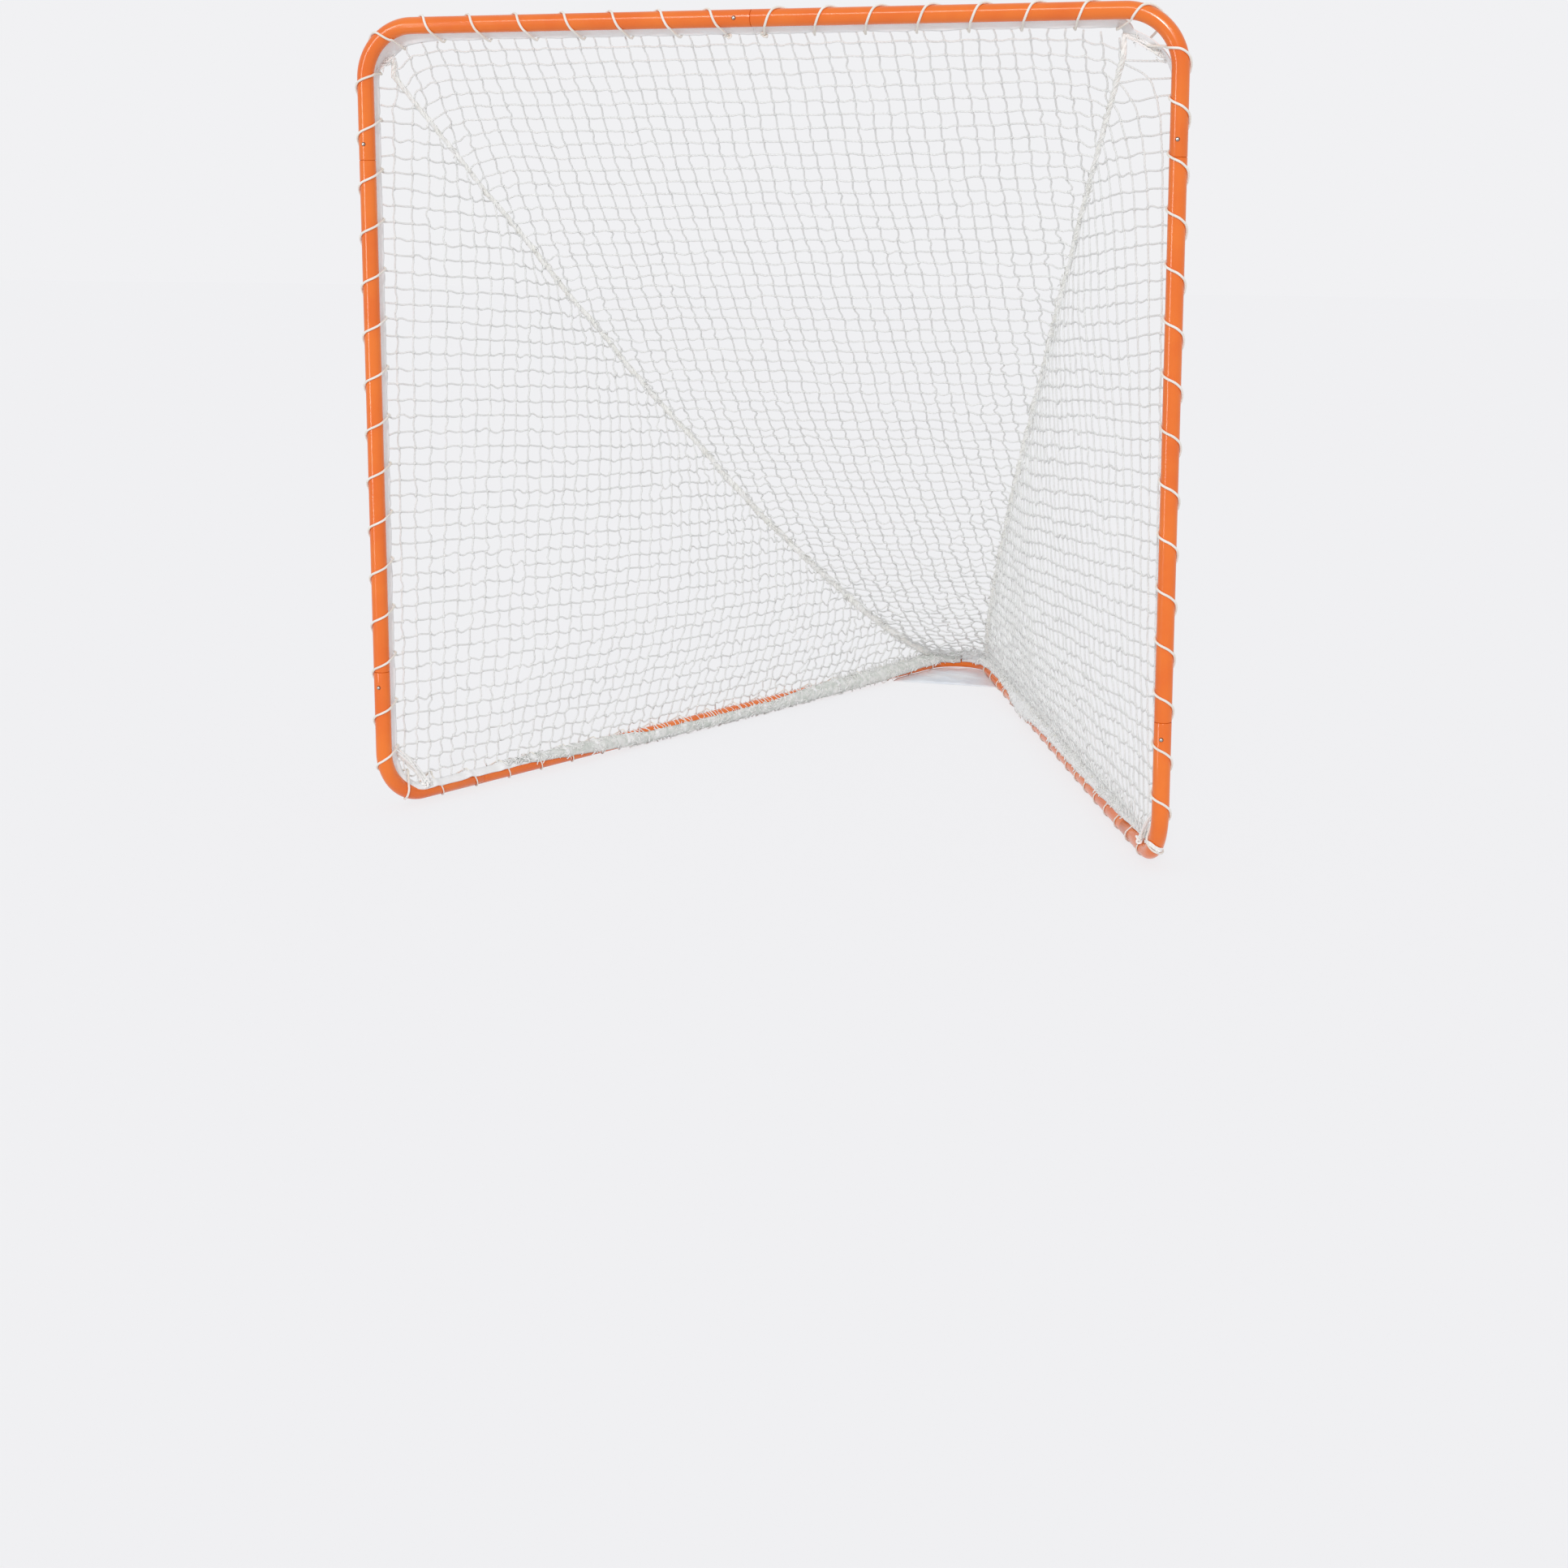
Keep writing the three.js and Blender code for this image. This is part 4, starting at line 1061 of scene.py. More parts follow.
def seam_bundle(side):
    """The rope that joins two panels: a bulky core with strands laid round it, and frayed bits."""
    sign = SIGNS[side]
    share = np.linspace(0, 1, 520)
    line = seam_line(side, share)
    sway = drift(line, SEAM_DRIFT, SEAM_WAVE, 3)
    line = line + sway * np.sin(math.pi * share)[:, None] ** 0.5
    line = np.concatenate([np.linspace(NET_CORNER[side], line[0], 12)[:-1], line])
    share = np.concatenate([np.linspace(-0.02, 0, 12)[:-1], share])
    below = np.clip(share, 0, 1)
    facing = turning_facing(line)
    along = unit(np.gradient(line, axis=0))
    across = np.cross(along, facing)
    run = travelled(line)
    thin, growth = SEAM_BULK[side]
    bulk = thin + growth * below**1.2 + TOP_BULK * np.exp(-((share / TOP_FADE) ** 2))
    bulk = bulk * (1 + 0.28 * np.array([ripple(r * 45, 9.1, sign) for r in run]))
    parts = [swept(line[None], bulk[None], 9, facing[None])]
    for strand in range(SEAM_STRANDS):
        wander = np.array([ripple(r * 14, strand * 5.3, sign * 2.0) for r in run])
        angle = 2 * math.pi * (strand / SEAM_STRANDS + run / SEAM_LAY) + 1.8 * wander
        away = bulk * (0.86 + 0.30 * wander)
        path = line + facing * (away * np.cos(angle))[:, None]
        path = path + across * (away * np.sin(angle))[:, None]
        radii = STRAND_RADIUS + STRAND_GROWTH * below
        parts.append(swept(path[None], radii[None], 7, facing[None]))
    rng = np.random.default_rng(51 + sign)
    at = (rng.uniform(0.02, 1, SEAM_FRAYS) ** 0.7 * (len(line) - 1)).astype(int)
    spin = rng.uniform(0, 2 * math.pi, SEAM_FRAYS)[:, None]
    out = facing[at] * np.cos(spin) + across[at] * np.sin(spin)
    away = (bulk[at, None] + FRAY_LIFT) * rng.uniform(0.9, 1.25, SEAM_FRAYS)[:, None]
    direction = unit(along[at] + rng.normal(0, 0.4, (SEAM_FRAYS, 3)))
    lengths = rng.uniform(*FRAY_LENGTHS, SEAM_FRAYS) * (0.8 + 0.5 * share[at])
    bows = out * rng.uniform(0.0, FRAY_BOW, SEAM_FRAYS)[:, None]
    parts.append(short_ends(line[at] + out * away, direction, bows, lengths, FRAY_RADIUS))
    add_piece(side + "_seam_bundle", side + "_seam_cord", SEAM_ROPE, parts)


for side in SIGNS:
    seam_bundle(side)


# ---------------------------------------------------------------- edge tape
# Between these the net's corner draws the tape away from the upper bend: its outer edge by the
# whole pull, its inner edge by the share in CORNER_INNER.
CORNER_START, CORNER_END = UPPER_BEND["start"] - 0.050, UPPER_BEND["end"] + 0.030
CORNER_WEIGHT = {"left": 0.75, "right": 1.0}
CORNER_INNER = {"left": 0.0, "right": 0.75}
TAPE_MIDDLE = 0.034
# How far each pass of the lacing draws the tape's edge in, how far that edge waves, and how deep
# the tape's folds are.
TAPE_DRAWN, TAPE_WAVE = 0.0035, 0.0018
TAPE_FOLD, TAPE_CRINKLE = 0.0030, 0.0014
# Past the lower bend the tape comes to lie on the rail, over 72 degrees beside the bunched net.
LAID_FROM, LAID_OVER, LAID_ANGLE = 0.03, 0.17, 72
# The left tape's upper edge and the right one's lower edge stay within these angles.
LAID_LIMITS = {"left": -13.0, "right": 56.0}
LAID_GAP, LAID_TENT, LAID_CRUMPLE = 0.0014, 0.0046, 0.0016
TAPE_STEP = 0.005
END_GAP = 0.0006

# Bunched net on each rail: distance from the corner, then the angles in degrees round the tube
# between which it lies.
BUNCH = {
    "left": np.array([
        (0.36, -8, 42), (0.50, -10, 75), (0.66, -6, 98), (0.80, 14, 128), (0.92, 56, 152),
        (1.20, 64, 158), (1.45, 60, 158), (1.60, 26, 158), (1.78, -12, 156), (1.95, -22, 140),
        (2.13, -28, 104), (2.24, -34, 92), (2.60, -40, 96),
    ]),
    "right": np.array([
        (0.06, -40, -8), (0.16, -46, 10), (0.30, -50, 26), (0.50, -54, 42), (0.80, -56, 54),
        (1.20, -56, 62), (1.40, -58, 74), (1.48, -58, 108), (1.58, -58, 124), (1.68, -58, 98),
        (1.78, -56, 56), (1.95, -52, 44), (2.13, -50, 50), (2.26, -44, 84), (2.60, -40, 96),
    ]),
}


def bunch_limits(side, distance):
    """The angles in degrees between which the bunched net lies, with even edges."""
    run, upper, lower = BUNCH[side].T
    return (float(np.interp(distance - RAIL_START, run, angles)) for angles in (upper, lower))


def corner_pull(side, distance):
    """How far the net's corner draws its edge away from the upper bend."""
    share = (distance - CORNER_START) / (CORNER_END - CORNER_START)
    if not 0 < share < 1:
        return Vector()
    middle = (CORNER_START + CORNER_END) / 2
    tape = ring_point(side, middle, 0, TAPE_MIDDLE)
    tent = 1 - abs(2 * share - 1)
    return (NET_CORNER[side] - tape) * CORNER_WEIGHT[side] * (0.6 * tent + 0.4 * tent**2)


def lacing_pull(side, distance, width=0.09):
    """1 where a turn of the lacing passes, and 0 between two turns."""
    phase = ((distance - LACING_STARTS[side]) / LACING_PITCH) % 1.0
    return math.exp(-((min(phase, 1 - phase) / width) ** 2))


def standing_tape(side, distance, w, pull):
    """The tape as it stands off the crossbar and the posts, in small folds."""
    point, tangent = ROUTES[side].place(distance)
    away = net_direction(side, distance)
    outer = TAPE_OUTER - TAPE_DRAWN * pull + TAPE_WAVE * ripple(distance * 22, 1.7, 0)
    fold = TAPE_FOLD * w * ripple(distance * 30, w * 1.5, SIGNS[side] * 4.0)
    fold += TAPE_CRINKLE * w * ripple(distance * 95, w * 3, 7.7)
    drawn = corner_pull(side, distance)
    fold *= 1 + 12 * drawn.length
    standing = point + away * (TAPE_INNER + (outer - TAPE_INNER) * w)
    standing += tangent.cross(away) * fold
    return standing + drawn * (CORNER_INNER[side] + (1 - CORNER_INNER[side]) * w)


def tape_point(side, distance, w):
    """w is 0 at the tape's edge by the tube and 1 at its edge by the net."""
    pull = lacing_pull(side, distance)
    standing = standing_tape(side, distance, w, pull)
    laid = ease((distance - LOWER_BEND["start"] - LAID_FROM) / LAID_OVER)
    if laid == 0:
        return standing
    upper, lower = bunch_limits(side, distance)
    if side == "left":
        high = max(LAID_LIMITS[side], upper + 6)
        low = high + LAID_ANGLE
    else:
        low = min(lower, LAID_LIMITS[side])
        high = low - LAID_ANGLE
    low += 7 * ripple(distance * 18, 3.1, 0) - 5 * pull
    crumple = abs(ripple(distance * 40, w * 2, 5.5))
    hug = TUBE_RADIUS + LAID_GAP + LAID_TENT * pull + LAID_CRUMPLE * crumple
    angle = math.radians(low - (low - high) * w)
    return standing.lerp(ring_point(side, distance, angle, hug), laid)


def edge_tape(side):
    """The woven band along the net's edge, drawn in at each pass of the lacing."""
    distances = np.arange(END_GAP, APEX_MIDDLE - END_GAP, TAPE_STEP)
    widths = np.linspace(0, 1, 8)
    points = [tape_point(side, distance, w) for distance in distances for w in widths]
    parts = [sheet(points, len(widths), strip_places(distances, widths * TAPE_WIDTH))]
    node = side + "_edge_tape"
    add_piece(node + "_woven", node, TAPE, parts, TAPE_THICKNESS)


for side in SIGNS:
    edge_tape(side)

# ---------------------------------------------------------------- bunched net on the rails
BUNCH_WIDTH = 0.05
BUNCH_STEP = 0.004
BUNCH_END_GAP = 0.001
# The band thickens over the first length, and again over the second before the apex bend.
BUNCH_FADE, APEX_FADE = 0.25, 0.12
BUNCH_GAP, LEAST_GAP = 0.0009, 0.0006
BUNCH_BASE, BUNCH_SWELL, BUNCH_CRUMPLE = 0.0012, 0.0042, 0.0036
# Bits of twine: how many, how far off the tube's surface, how long and how thick.
BIT_COUNT = {"left": 1100, "right": 700}
BIT_LIFT, BIT_LENGTH, BIT_RADIUS = (0.0030, 0.0066), (0.010, 0.026), 0.0015
BIT_BOW = -0.0005, 0.0030
BIT_START, BIT_LEAD = 0.02, 0.10
# Twines drawn over the tube: how far from the band's ends, how much askew, and how they arch.
OVER_START, OVER_END, OVER_SKEW = 0.1, 0.03, 0.006
OVER_GAP, OVER_BOW, OVER_ARCH = 0.0024, 0.0010, 0.0025
# Frayed ends on each rail: how many, from which distance on, and how long the longest is.
FRINGE = {"left": (260, RAIL_START + 1.75, 0.018), "right": (1100, RAIL_START + 0.12, 0.032)}
FRINGE_ROOT, FRINGE_BOW = 0.002, 0.0022
FRINGE_RADIUS, FRINGE_TIP = 0.0012, 0.45


def near_apex(distance, lead):
    """From 0 on the rail to 1 in the apex bend, beginning a lead before the bend."""
    return ease((distance - APEX_TURN["start"] + lead) / APEX_FADE)


def bunch_angles(side, distance):
    """Those angles with ragged edges, the lower one drawn in and out by the lacing."""
    upper, lower = bunch_limits(side, distance)
    scallop = 5 * lacing_pull(side, distance, 0.2) - 3
    ragged = 5 * ripple(distance * 34, 8.8, SIGNS[side])
    ragged += 3 * ripple(distance * 110, 2.8, SIGNS[side])
    return upper + ragged, lower + scallop + ragged


def bunched_net(side):
    """Net and tape drawn together on the rail's inner side: a crumpled band under bits of twine."""
    first = RAIL_START + BUNCH[side][0][0]
    distances = np.arange(first, APEX_MIDDLE - BUNCH_END_GAP, BUNCH_STEP)
    widths = np.linspace(0, 1, 13)
    points = []
    for distance in distances:
        upper, lower = bunch_angles(side, distance)
        thick = ease((distance - first) / BUNCH_FADE)
        thick *= 1 + 0.8 * near_apex(distance, APEX_FADE)
        for w in widths:
            crumple = ripple(distance * 60, w * 4, SIGNS[side] * 3.3)
            crumple += 0.35 * ripple(distance * 150, w * 9, 6.1)
            swell = math.sin(math.pi * w) ** 0.5
            lift = thick * (BUNCH_BASE + BUNCH_SWELL * swell + BUNCH_CRUMPLE * swell * crumple)
            away = max(TUBE_RADIUS + BUNCH_GAP + lift, TUBE_RADIUS + LEAST_GAP)
            angle = math.radians(upper + (lower - upper) * w)
            points.append(ring_point(side, distance, angle, away))
    parts = [sheet(points, len(widths), strip_places(distances, widths * BUNCH_WIDTH))]
    cloth = BUNCHED if side == "left" else TAPE
    name, tape, net = side + "_base_bunch", side + "_edge_tape", side + "_side_net"
    add_piece(name, tape, cloth, parts, BUNCH_THICKNESS)
    bits, faces, uvs = gathered([bunch_bits(side, first), bunch_fringe(side)])
    bits[:, 2] = np.maximum(bits[:, 2], LEAST_GAP)
    add_piece(name + "_twine", net, FRAYED, [(bits, faces, uvs)])


def bunch_bits(side, first):
    """Bits of twine on the band: short ones at all angles, and twines drawn over the tube to it."""
    rng = np.random.default_rng(71 + SIGNS[side])
    begin = first + BIT_START
    bits = []
    for share in rng.uniform(0, 1, BIT_COUNT[side]) ** 0.9:
        distance = begin + (APEX_MIDDLE - begin) * share
        upper, lower = bunch_angles(side, distance)
        angle = math.radians(rng.uniform(upper + 4, lower - 4))
        tall = 1 + 1.2 * near_apex(distance, BIT_LEAD)
        spot = ring_point(side, distance, angle, TUBE_RADIUS + rng.uniform(*BIT_LIFT) * tall)
        one, other = (ring_point(side, distance, angle + a, TUBE_RADIUS) for a in (-0.2, 0.2))
        middle, tangent = ROUTES[side].place(distance)
        turn = rng.uniform(-1.3, 1.3)
        direction = tangent * math.cos(turn) + (other - one).normalized() * math.sin(turn)
        bow_out = (spot - middle).normalized() * rng.uniform(*BIT_BOW) * tall
        bits.append((spot, direction, bow_out))
    lengths = list(rng.uniform(*BIT_LENGTH, len(bits)))
    for distance in np.arange(first + OVER_START, APEX_MIDDLE - OVER_END, MESH * 0.5):
        upper = bunch_angles(side, distance)[0]
        if upper > -4:
            shifts = rng.normal(0, OVER_SKEW), rng.normal(0, OVER_SKEW)
            foot, top = (
                ring_point(side, distance + shift, math.radians(angle), TUBE_RADIUS + OVER_GAP)
                for shift, angle in zip(shifts, (-14, upper + 8))
            )
            spot = (foot + top) / 2
            lift = OVER_BOW + OVER_ARCH * math.sin(math.radians(upper + 14) / 2)
            bow_out = (spot - ROUTES[side].place(distance)[0]).normalized() * lift
            bits.append((spot, (top - foot).normalized(), bow_out))
            lengths.append((top - foot).length)
    return short_ends(*map(np.array, zip(*bits)), np.array(lengths), BIT_RADIUS)


def bunch_fringe(side):
    """Frayed ends that stand up from the band: many on the right rail, on the left a few."""
    rng = np.random.default_rng(81 + SIGNS[side])
    count, start, tallest = FRINGE[side]
    ends = []
    for distance in rng.uniform(start, APEX_MIDDLE, count):
        upper, lower = bunch_angles(side, distance)
        angle = math.radians(rng.uniform(upper, min(lower, 35)))
        length = rng.uniform(0.35, 1) * tallest
        root = ring_point(side, distance, angle, TUBE_RADIUS + FRINGE_ROOT)
        out = (root - ROUTES[side].place(distance)[0]).normalized()
        direction = (UP + out * 0.35 + Vector(rng.normal(0, 0.35, 3))).normalized()
        bow_out = Vector(rng.normal(0, FRINGE_BOW, 3))
        ends.append((root + direction * length / 2, direction, bow_out, length))
    return short_ends(*map(np.array, zip(*ends)), FRINGE_RADIUS, FRINGE_TIP)


def trefoil(centre, size, tilt):
    """The path of an overhand knot."""
    t = np.linspace(0, 2 * math.pi, 60)
    x, y = np.sin(t) + 2 * np.sin(2 * t), np.cos(t) - 2 * np.cos(2 * t)
    shape = np.stack([x, y, -np.sin(3 * t)], axis=1) * size / 3
    return shape @ np.array(Euler(tilt).to_matrix()).T + np.array(centre)


# The upper corner's strands end this far before the bend does; frayed bits lie round them.
CORNER_REACH = 0.030
CORNER_STRAND, CORNER_SPREAD = 0.0024, 0.0026
CORNER_FRAY, CORNER_SCATTER, CORNER_BOW = 0.0016, 0.0042, 0.003
CORNER_LENGTHS = 0.014, 0.034


def corner_bunch(side):
    """The net's upper corner, drawn together between the seam's top and the tape on the post."""
    rng = np.random.default_rng(91 + SIGNS[side])
    start = NET_CORNER[side]
    end = Vector(tape_point(side, UPPER_BEND["end"] - CORNER_REACH, 0.8))
    spread = (end - start).length
    middle = (start + end) / 2 + Vector((0, 0, 0.10 * spread))
    parts = []
    for strand in range(5):
        shift = Vector(rng.normal(0, CORNER_SPREAD, 3))
        down, up = start.lerp(middle, 0.5) + shift, middle.lerp(end, 0.5) + shift
        path = [start + shift * 0.3, down, middle + shift * 1.6, up, end + shift * 0.3]
        parts.append(cord(smooth_line(path, 6), CORNER_STRAND, 6))
    spots = np.array([
        start.lerp(middle, 2 * s) if s < 0.5 else middle.lerp(end, 2 * s - 1)
        for s in rng.uniform(0, 1, 6 + int(120 * spread))
    ])
    spots += rng.normal(0, CORNER_SCATTER, spots.shape)
    ahead = np.array((end - start).normalized())
    directions = unit(ahead + rng.normal(0, 0.55, spots.shape))
    bows = rng.normal(0, CORNER_BOW, spots.shape)
    lengths = rng.uniform(*CORNER_LENGTHS, len(spots))
    parts.append(short_ends(spots, directions, bows, lengths, CORNER_FRAY))
    add_piece(side + "_corner_bunch", side + "_side_net", FRAYED, parts)


# The right corner's tail: how far before the bend's end it lies, and its angle round the tube.
TAIL_BACKS = 0.020, 0.070, 0.105, 0.115, 0.110, 0.100
TAIL_ANGLES = 15, 45, 85, 125, 165, 210
TAIL_GAP, TAIL_SPACING, TAIL_RADIUS = 0.0030, 0.0038, 0.0021
TAIL_KNOT, TAIL_KNOT_RADIUS = 0.0055, 0.0020
SMALL_KNOT_TILT = 0.2, 0.9, 1.4


def gather_tail(end):
    """Three strands that leave the right corner's knot over the tube, and the knot they end in."""
    turn, marks = np.linspace(0, 1, 9), np.linspace(0, 1, 6)
    backs, angles = np.interp(turn, marks, TAIL_BACKS), np.interp(turn, marks, TAIL_ANGLES)
    parts = []
    for strand in range(3):
        near = end + TAIL_SPACING * strand
        tail = [
            ring_point("right", near - back, math.radians(angle), TUBE_RADIUS + TAIL_GAP)
            for back, angle in zip(backs, angles)
        ]
        parts.append(cord(smooth_line(tail, 5), TAIL_RADIUS, 7))
    return parts + [cord(trefoil(tail[-2], TAIL_KNOT, SMALL_KNOT_TILT), TAIL_KNOT_RADIUS, 7)]


# The lower corner's strands: where each is tied on the tape and on the rail, and how it hangs.
TIE_FROM, TIE_UP = 0.05, (0.01, 0.07)
TIE_BACK, TIE_ALONG = 0.012, (0.0, 0.03)
TIE_GAP, TIE_SPREAD, TIE_RISE = 0.0045, 0.004, 0.006
TIE_RADII = 0.0017, 0.0026
# The knot they share: its place before the bend's end and off the tube, its size and its cord.
TIE_KNOT_BACK, TIE_KNOT_GAP = 0.004, 0.009
TIE_KNOT, TIE_KNOT_RADIUS = 0.0100, 0.0024
# The left corner has a second knot beside it.
SECOND_SHIFT = Vector((0, 0.012, 0.003))
SECOND_KNOT, SECOND_RADIUS = 0.0080, 0.0022


def lower_corner_gather(side):
    """Where the net's lower corner is tied: strands from post to rail, and their knots."""
    rng = np.random.default_rng(95 + SIGNS[side])
    begin, end = LOWER_BEND["start"], LOWER_BEND["end"]
    parts = []
    for strand in range(7):
        up, along = rng.uniform(*TIE_UP), rng.uniform(*TIE_ALONG)
        start = Vector(tape_point(side, begin - up + TIE_FROM, rng.uniform(0.7, 1.0)))
        angle = math.radians(rng.uniform(20, 60))
        foot = ring_point(side, end - TIE_BACK + along, angle, TUBE_RADIUS + TIE_GAP)
        middle = (start + foot) / 2 + Vector(rng.normal(0, TIE_SPREAD, 3)) + UP * TIE_RISE
        path = smooth_line([start, middle, foot], 8)
        parts.append(cord(path, rng.uniform(*TIE_RADII), 6))
    knot = ring_point(side, end - TIE_KNOT_BACK, math.radians(38), TUBE_RADIUS + TIE_KNOT_GAP)
    tied = trefoil(knot, TIE_KNOT, (0.9, 0.4 * SIGNS[side], 0.5))
    parts.append(cord(tied, TIE_KNOT_RADIUS, 7))
    if side == "right":
        parts += gather_tail(end)
    else:
        second = trefoil(knot + SECOND_SHIFT, SECOND_KNOT, SMALL_KNOT_TILT)
        parts.append(cord(second, SECOND_RADIUS, 7))
    add_piece(side + "_lower_corner_gather", side + "_side_net", FRAYED, parts)


for side in SIGNS:
    bunched_net(side)
    corner_bunch(side)
    lower_corner_gather(side)

# ---------------------------------------------------------------- lacing
# How far along its pitch a turn has come, against its share of the way round the tube.
TURN_SHARES = np.array([0.0, 0.2, 0.35, 0.5, 0.65, 0.8, 1.0])
TURN_ADVANCES = np.array([0.02, 0.12, 0.2, 0.28, 0.42, 0.66, 0.98])
LACING_HUG, BASE_LACING_HUG = 0.0219, 0.0205
LACING_SLACK = 0.0008
PASS_GAP = 0.0042
KNOT_SIZE = 0.0085
UPPER_KNOT_SHIFT = Vector((0, 0.002, 0.001))
# The base lacing's first turn starts at most so far before the lower bend's end, and its last turn
# ends at least so far before the apex's middle.
BASE_LEAD, APEX_GAP = 0.0254, 0.030


def lacing_points(side, first_turn, end_turn):
    """Each turn: through the net beside the tape, round the tube, and back to the next pass."""
    points = []

    def put(distance, away, sideways):
        spot = ring_point(side, distance, math.pi / 2, sideways) - ROUTES[side].place(distance)[0]
        return ring_point(side, distance, 0, away) + spot

    for turn in range(first_turn, end_turn):
        start = LACING_STARTS[side] + turn * LACING_PITCH
        passing = BASE_LACING_PASS if start > LOWER_BEND["end"] else LACING_PASS
        entry = put(start + TURN_ADVANCES[0] * LACING_PITCH, passing, PASS_GAP)
        points.append(entry + corner_pull(side, start))
        for share in np.linspace(0.175, 0.825, 14):
            advance = float(np.interp(share, TURN_SHARES, TURN_ADVANCES))
            distance = start + advance * LACING_PITCH
            angle = 2 * math.pi * share
            slack = LACING_SLACK * (1 - math.cos(angle)) / 2
            on_rail = distance > LOWER_BEND["end"]
            hug = BASE_LACING_HUG + slack if on_rail else LACING_HUG
            points.append(put(distance, hug * math.cos(angle), hug * math.sin(angle)))
        leaving = put(start + TURN_ADVANCES[-1] * LACING_PITCH, passing, -PASS_GAP)
        points.append(leaving + corner_pull(side, start + LACING_PITCH))
    return points


def lace(side):
    """The lacing of crossbar and post, and that of the rail, each with a knot at its end."""
    start = LACING_STARTS[side]
    ground_turn = math.ceil((LOWER_BEND["end"] - BASE_LEAD - start) / LACING_PITCH)
    end_turn = math.floor((APEX_MIDDLE - APEX_GAP - start) / LACING_PITCH)
    upper = lacing_points(side, 0, ground_turn)
    base = lacing_points(side, ground_turn, end_turn)
    meeting = (upper[-1] + base[0]) / 2
    upper_knot = upper[0] + UPPER_KNOT_SHIFT
    for node, points, knot, radius, knot_radius in (
        ("_lacing", [*upper, meeting], upper_knot, LACING_RADIUS, LACING_RADIUS * 0.85),
        ("_base_lacing", [meeting, *base], base[-1], BASE_LACING_RADIUS, BASE_LACING_RADIUS),
    ):
        tied = trefoil(knot, KNOT_SIZE, (0.4, 0.3 * SIGNS[side], 0.8))
        parts = [cord(smooth_line(points, 2), radius, 8), cord(tied, knot_radius, 8)]
        add_piece(side + node + "_braid", side + node, LACING, parts)


for side in SIGNS:
    lace(side)


# ---------------------------------------------------------------- ground panel
# How high the cloth, its creases and the lip along the base lacing rise.
PANEL_RISE = 0.0004
CREASE, WRINKLE = 0.0060, 0.0036
LIP, LIP_WIDTH = 0.0062, 0.012
# Over these lengths the creases grow from the sides and the front, and the lip from the front.
SIDE_FADE, FRONT_FADE, LIP_FADE = 0.012, 0.006, 0.02
TIP_GAP = 0.0002


def ground_panel():
    """The woven sheet on the ground between the rails at the apex, creased where it is pulled."""
    rail = rail_direction(1)
    front = GOAL_DEPTH - PANEL_REACH
    arc_centre, arc_radius = GOAL_DEPTH - APEX_BEND, APEX_BEND - PANEL_EDGE
    arc_depth = arc_centre + arc_radius * (-rail.x)
    rear = arc_centre + arc_radius - TIP_GAP

    def half_width(depth):
        if depth <= arc_depth:
            return HALF_SPAN + (rail.x * depth) / rail.y - PANEL_EDGE / rail.y
        return math.sqrt(max(arc_radius**2 - (depth - arc_centre) ** 2, 0.0))

    def height(x, depth, beside):
        """Flat, but for creases inside its edges and a lip that climbs the base lacing."""
        edge = min(1.0, beside / SIDE_FADE, (depth - front) / FRONT_FADE + 0.15)
        line = abs(ripple(x * 9 + depth * 14, depth * 5, 0.3))
        crease = CREASE * max(0.0, 0.55 - line * 3)
        crease += WRINKLE * (ripple(x * 34, depth * 27, 2.0) + 0.5)
        lip = LIP * math.exp(-((beside * rail.y / LIP_WIDTH) ** 2))
        lip *= min(1.0, (depth - front) / LIP_FADE)
        return PANEL_RISE + lip + max(crease, 0.0) * max(edge, 0.0)

    shares = np.linspace(-1, 1, 49)
    depths = front + (rear - front) * (1 - (1 - np.linspace(0, 1, 46)) ** 1.6)
    halves = [half_width(depth) for depth in depths]
    points = np.array([
        (half * s, MOUTH_Y + depth, height(half * s, depth, (1 - abs(s)) * half))
        for depth, half in zip(depths, halves)
        for s in shares
    ])
    parts = [sheet(points, len(shares), points[:, :2])]
    name = "apex_ground_panel"
    panel = add_piece(name + "_cloth", name, PANEL_CLOTH, parts, PANEL_THICKNESS, 1)


ground_panel()


# ---------------------------------------------------------------- set
SURROUND, GLOW = "#F1F1F3", "#F3F3F5"
FLOOR_SIZE, FLOOR_DROP = 60, 0.0006
UNSHADED_SHARE = 0.85
WORLD_LIGHT = 0.78


def seen_rays(owner):
    """1 for what the camera or a glossy surface sees, and 0 for the light that falls on things."""
    rays = add_node(owner, "ShaderNodeLightPath").outputs
    links = {0: rays["Is Camera Ray"], 1: rays["Is Glossy Ray"]}
    return add_node(owner, "ShaderNodeMath", {"operation": "MAXIMUM"}, links).outputs[0]


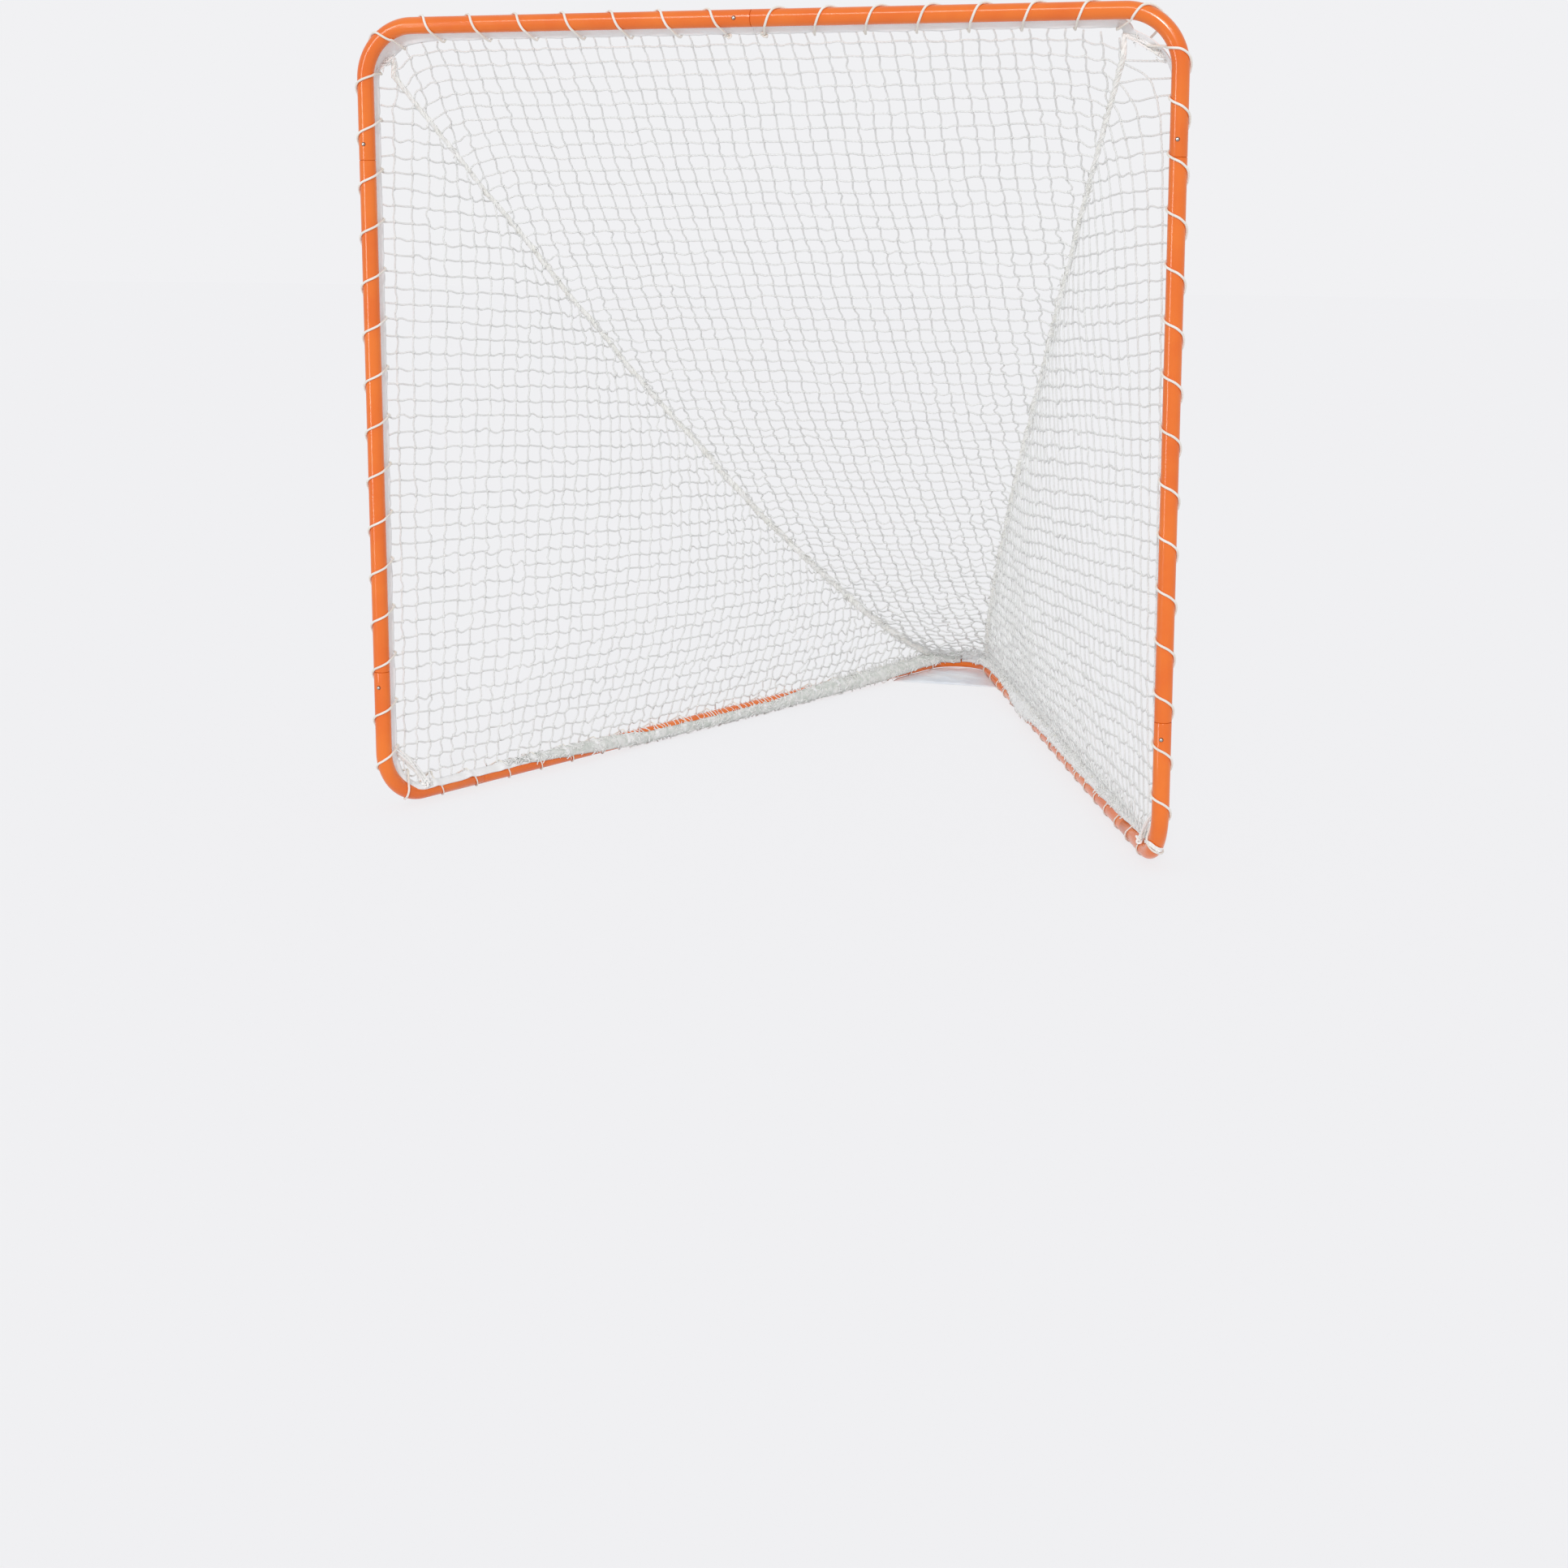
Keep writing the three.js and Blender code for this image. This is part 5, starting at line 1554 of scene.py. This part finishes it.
def pale_floor():
    """A matt pale surface that is seen almost unshaded, but for the goal's soft shadow."""
    material, shader = new_material("pale_floor", Roughness=0.9)
    shader.inputs["Base Color"].default_value = linear(SURROUND)
    settings = {"operation": "MULTIPLY", 1: UNSHADED_SHARE}
    share = add_node(material, "ShaderNodeMath", settings, {0: seen_rays(material)})
    glow = add_node(material, "ShaderNodeEmission", {"Color": linear(GLOW), "Strength": 1.0})
    links = {0: share.outputs[0], 1: shader.outputs[0], 2: glow.outputs[0]}
    mix = add_node(material, "ShaderNodeMixShader", links=links)
    surface = material.node_tree.nodes["Material Output"].inputs["Surface"]
    material.node_tree.links.new(mix.outputs[0], surface)
    return material


def add_floor():
    pick()
    bpy.ops.mesh.primitive_plane_add(size=FLOOR_SIZE, location=(0, 0, -FLOOR_DROP))
    floor = bpy.context.object
    floor.name = "floor"
    floor.data.materials.append(pale_floor())


def add_world():
    """Even studio light: the surround as bright as it looks, with a little less light from it."""
    world = bpy.data.worlds.new("studio")
    world.use_nodes = True
    bpy.context.scene.world = world
    background = world.node_tree.nodes["Background"]
    background.inputs["Color"].default_value = linear(SURROUND)
    settings = {"To Min": WORLD_LIGHT, "To Max": 1.0}
    level = add_node(world, "ShaderNodeMapRange", settings, {"Value": seen_rays(world)})
    world.node_tree.links.new(level.outputs[0], background.inputs["Strength"])


def add_lamp(name, kind, place, target, **settings):
    data = bpy.data.lights.new(name, kind)
    for setting, value in settings.items():
        setattr(data, setting, value)
    lamp = bpy.data.objects.new(name, data)
    lamp.location = place
    lamp.rotation_euler = (Vector(target) - Vector(place)).to_track_quat("-Z", "Y").to_euler()
    bpy.context.scene.collection.objects.link(lamp)
    return lamp


def add_strip(name, place, target, width, height, power):
    """A long slim lit panel that only the gloss shows, as a line along the tubes."""
    shape = {"shape": "RECTANGLE", "size": width, "size_y": height}
    lamp = add_lamp(name, "AREA", place, target, **shape, energy=power)
    lamp.visible_camera = lamp.visible_diffuse = False


add_floor()
add_world()
add_lamp("key", "SUN", (1.0, -7.6, 3.8), (0, -0.6, 0.9), energy=1.05, angle=math.radians(6))
add_strip("upright_strip", (-2.9, -4.4, 1.5), (0, -0.9, 1.0), 0.5, 3.2, 60)
add_strip("level_strip", (0.2, -3.6, 3.3), (0, -1.06, 1.85), 4.0, 0.3, 45)
bpy.context.scene.view_settings.view_transform = "Standard"
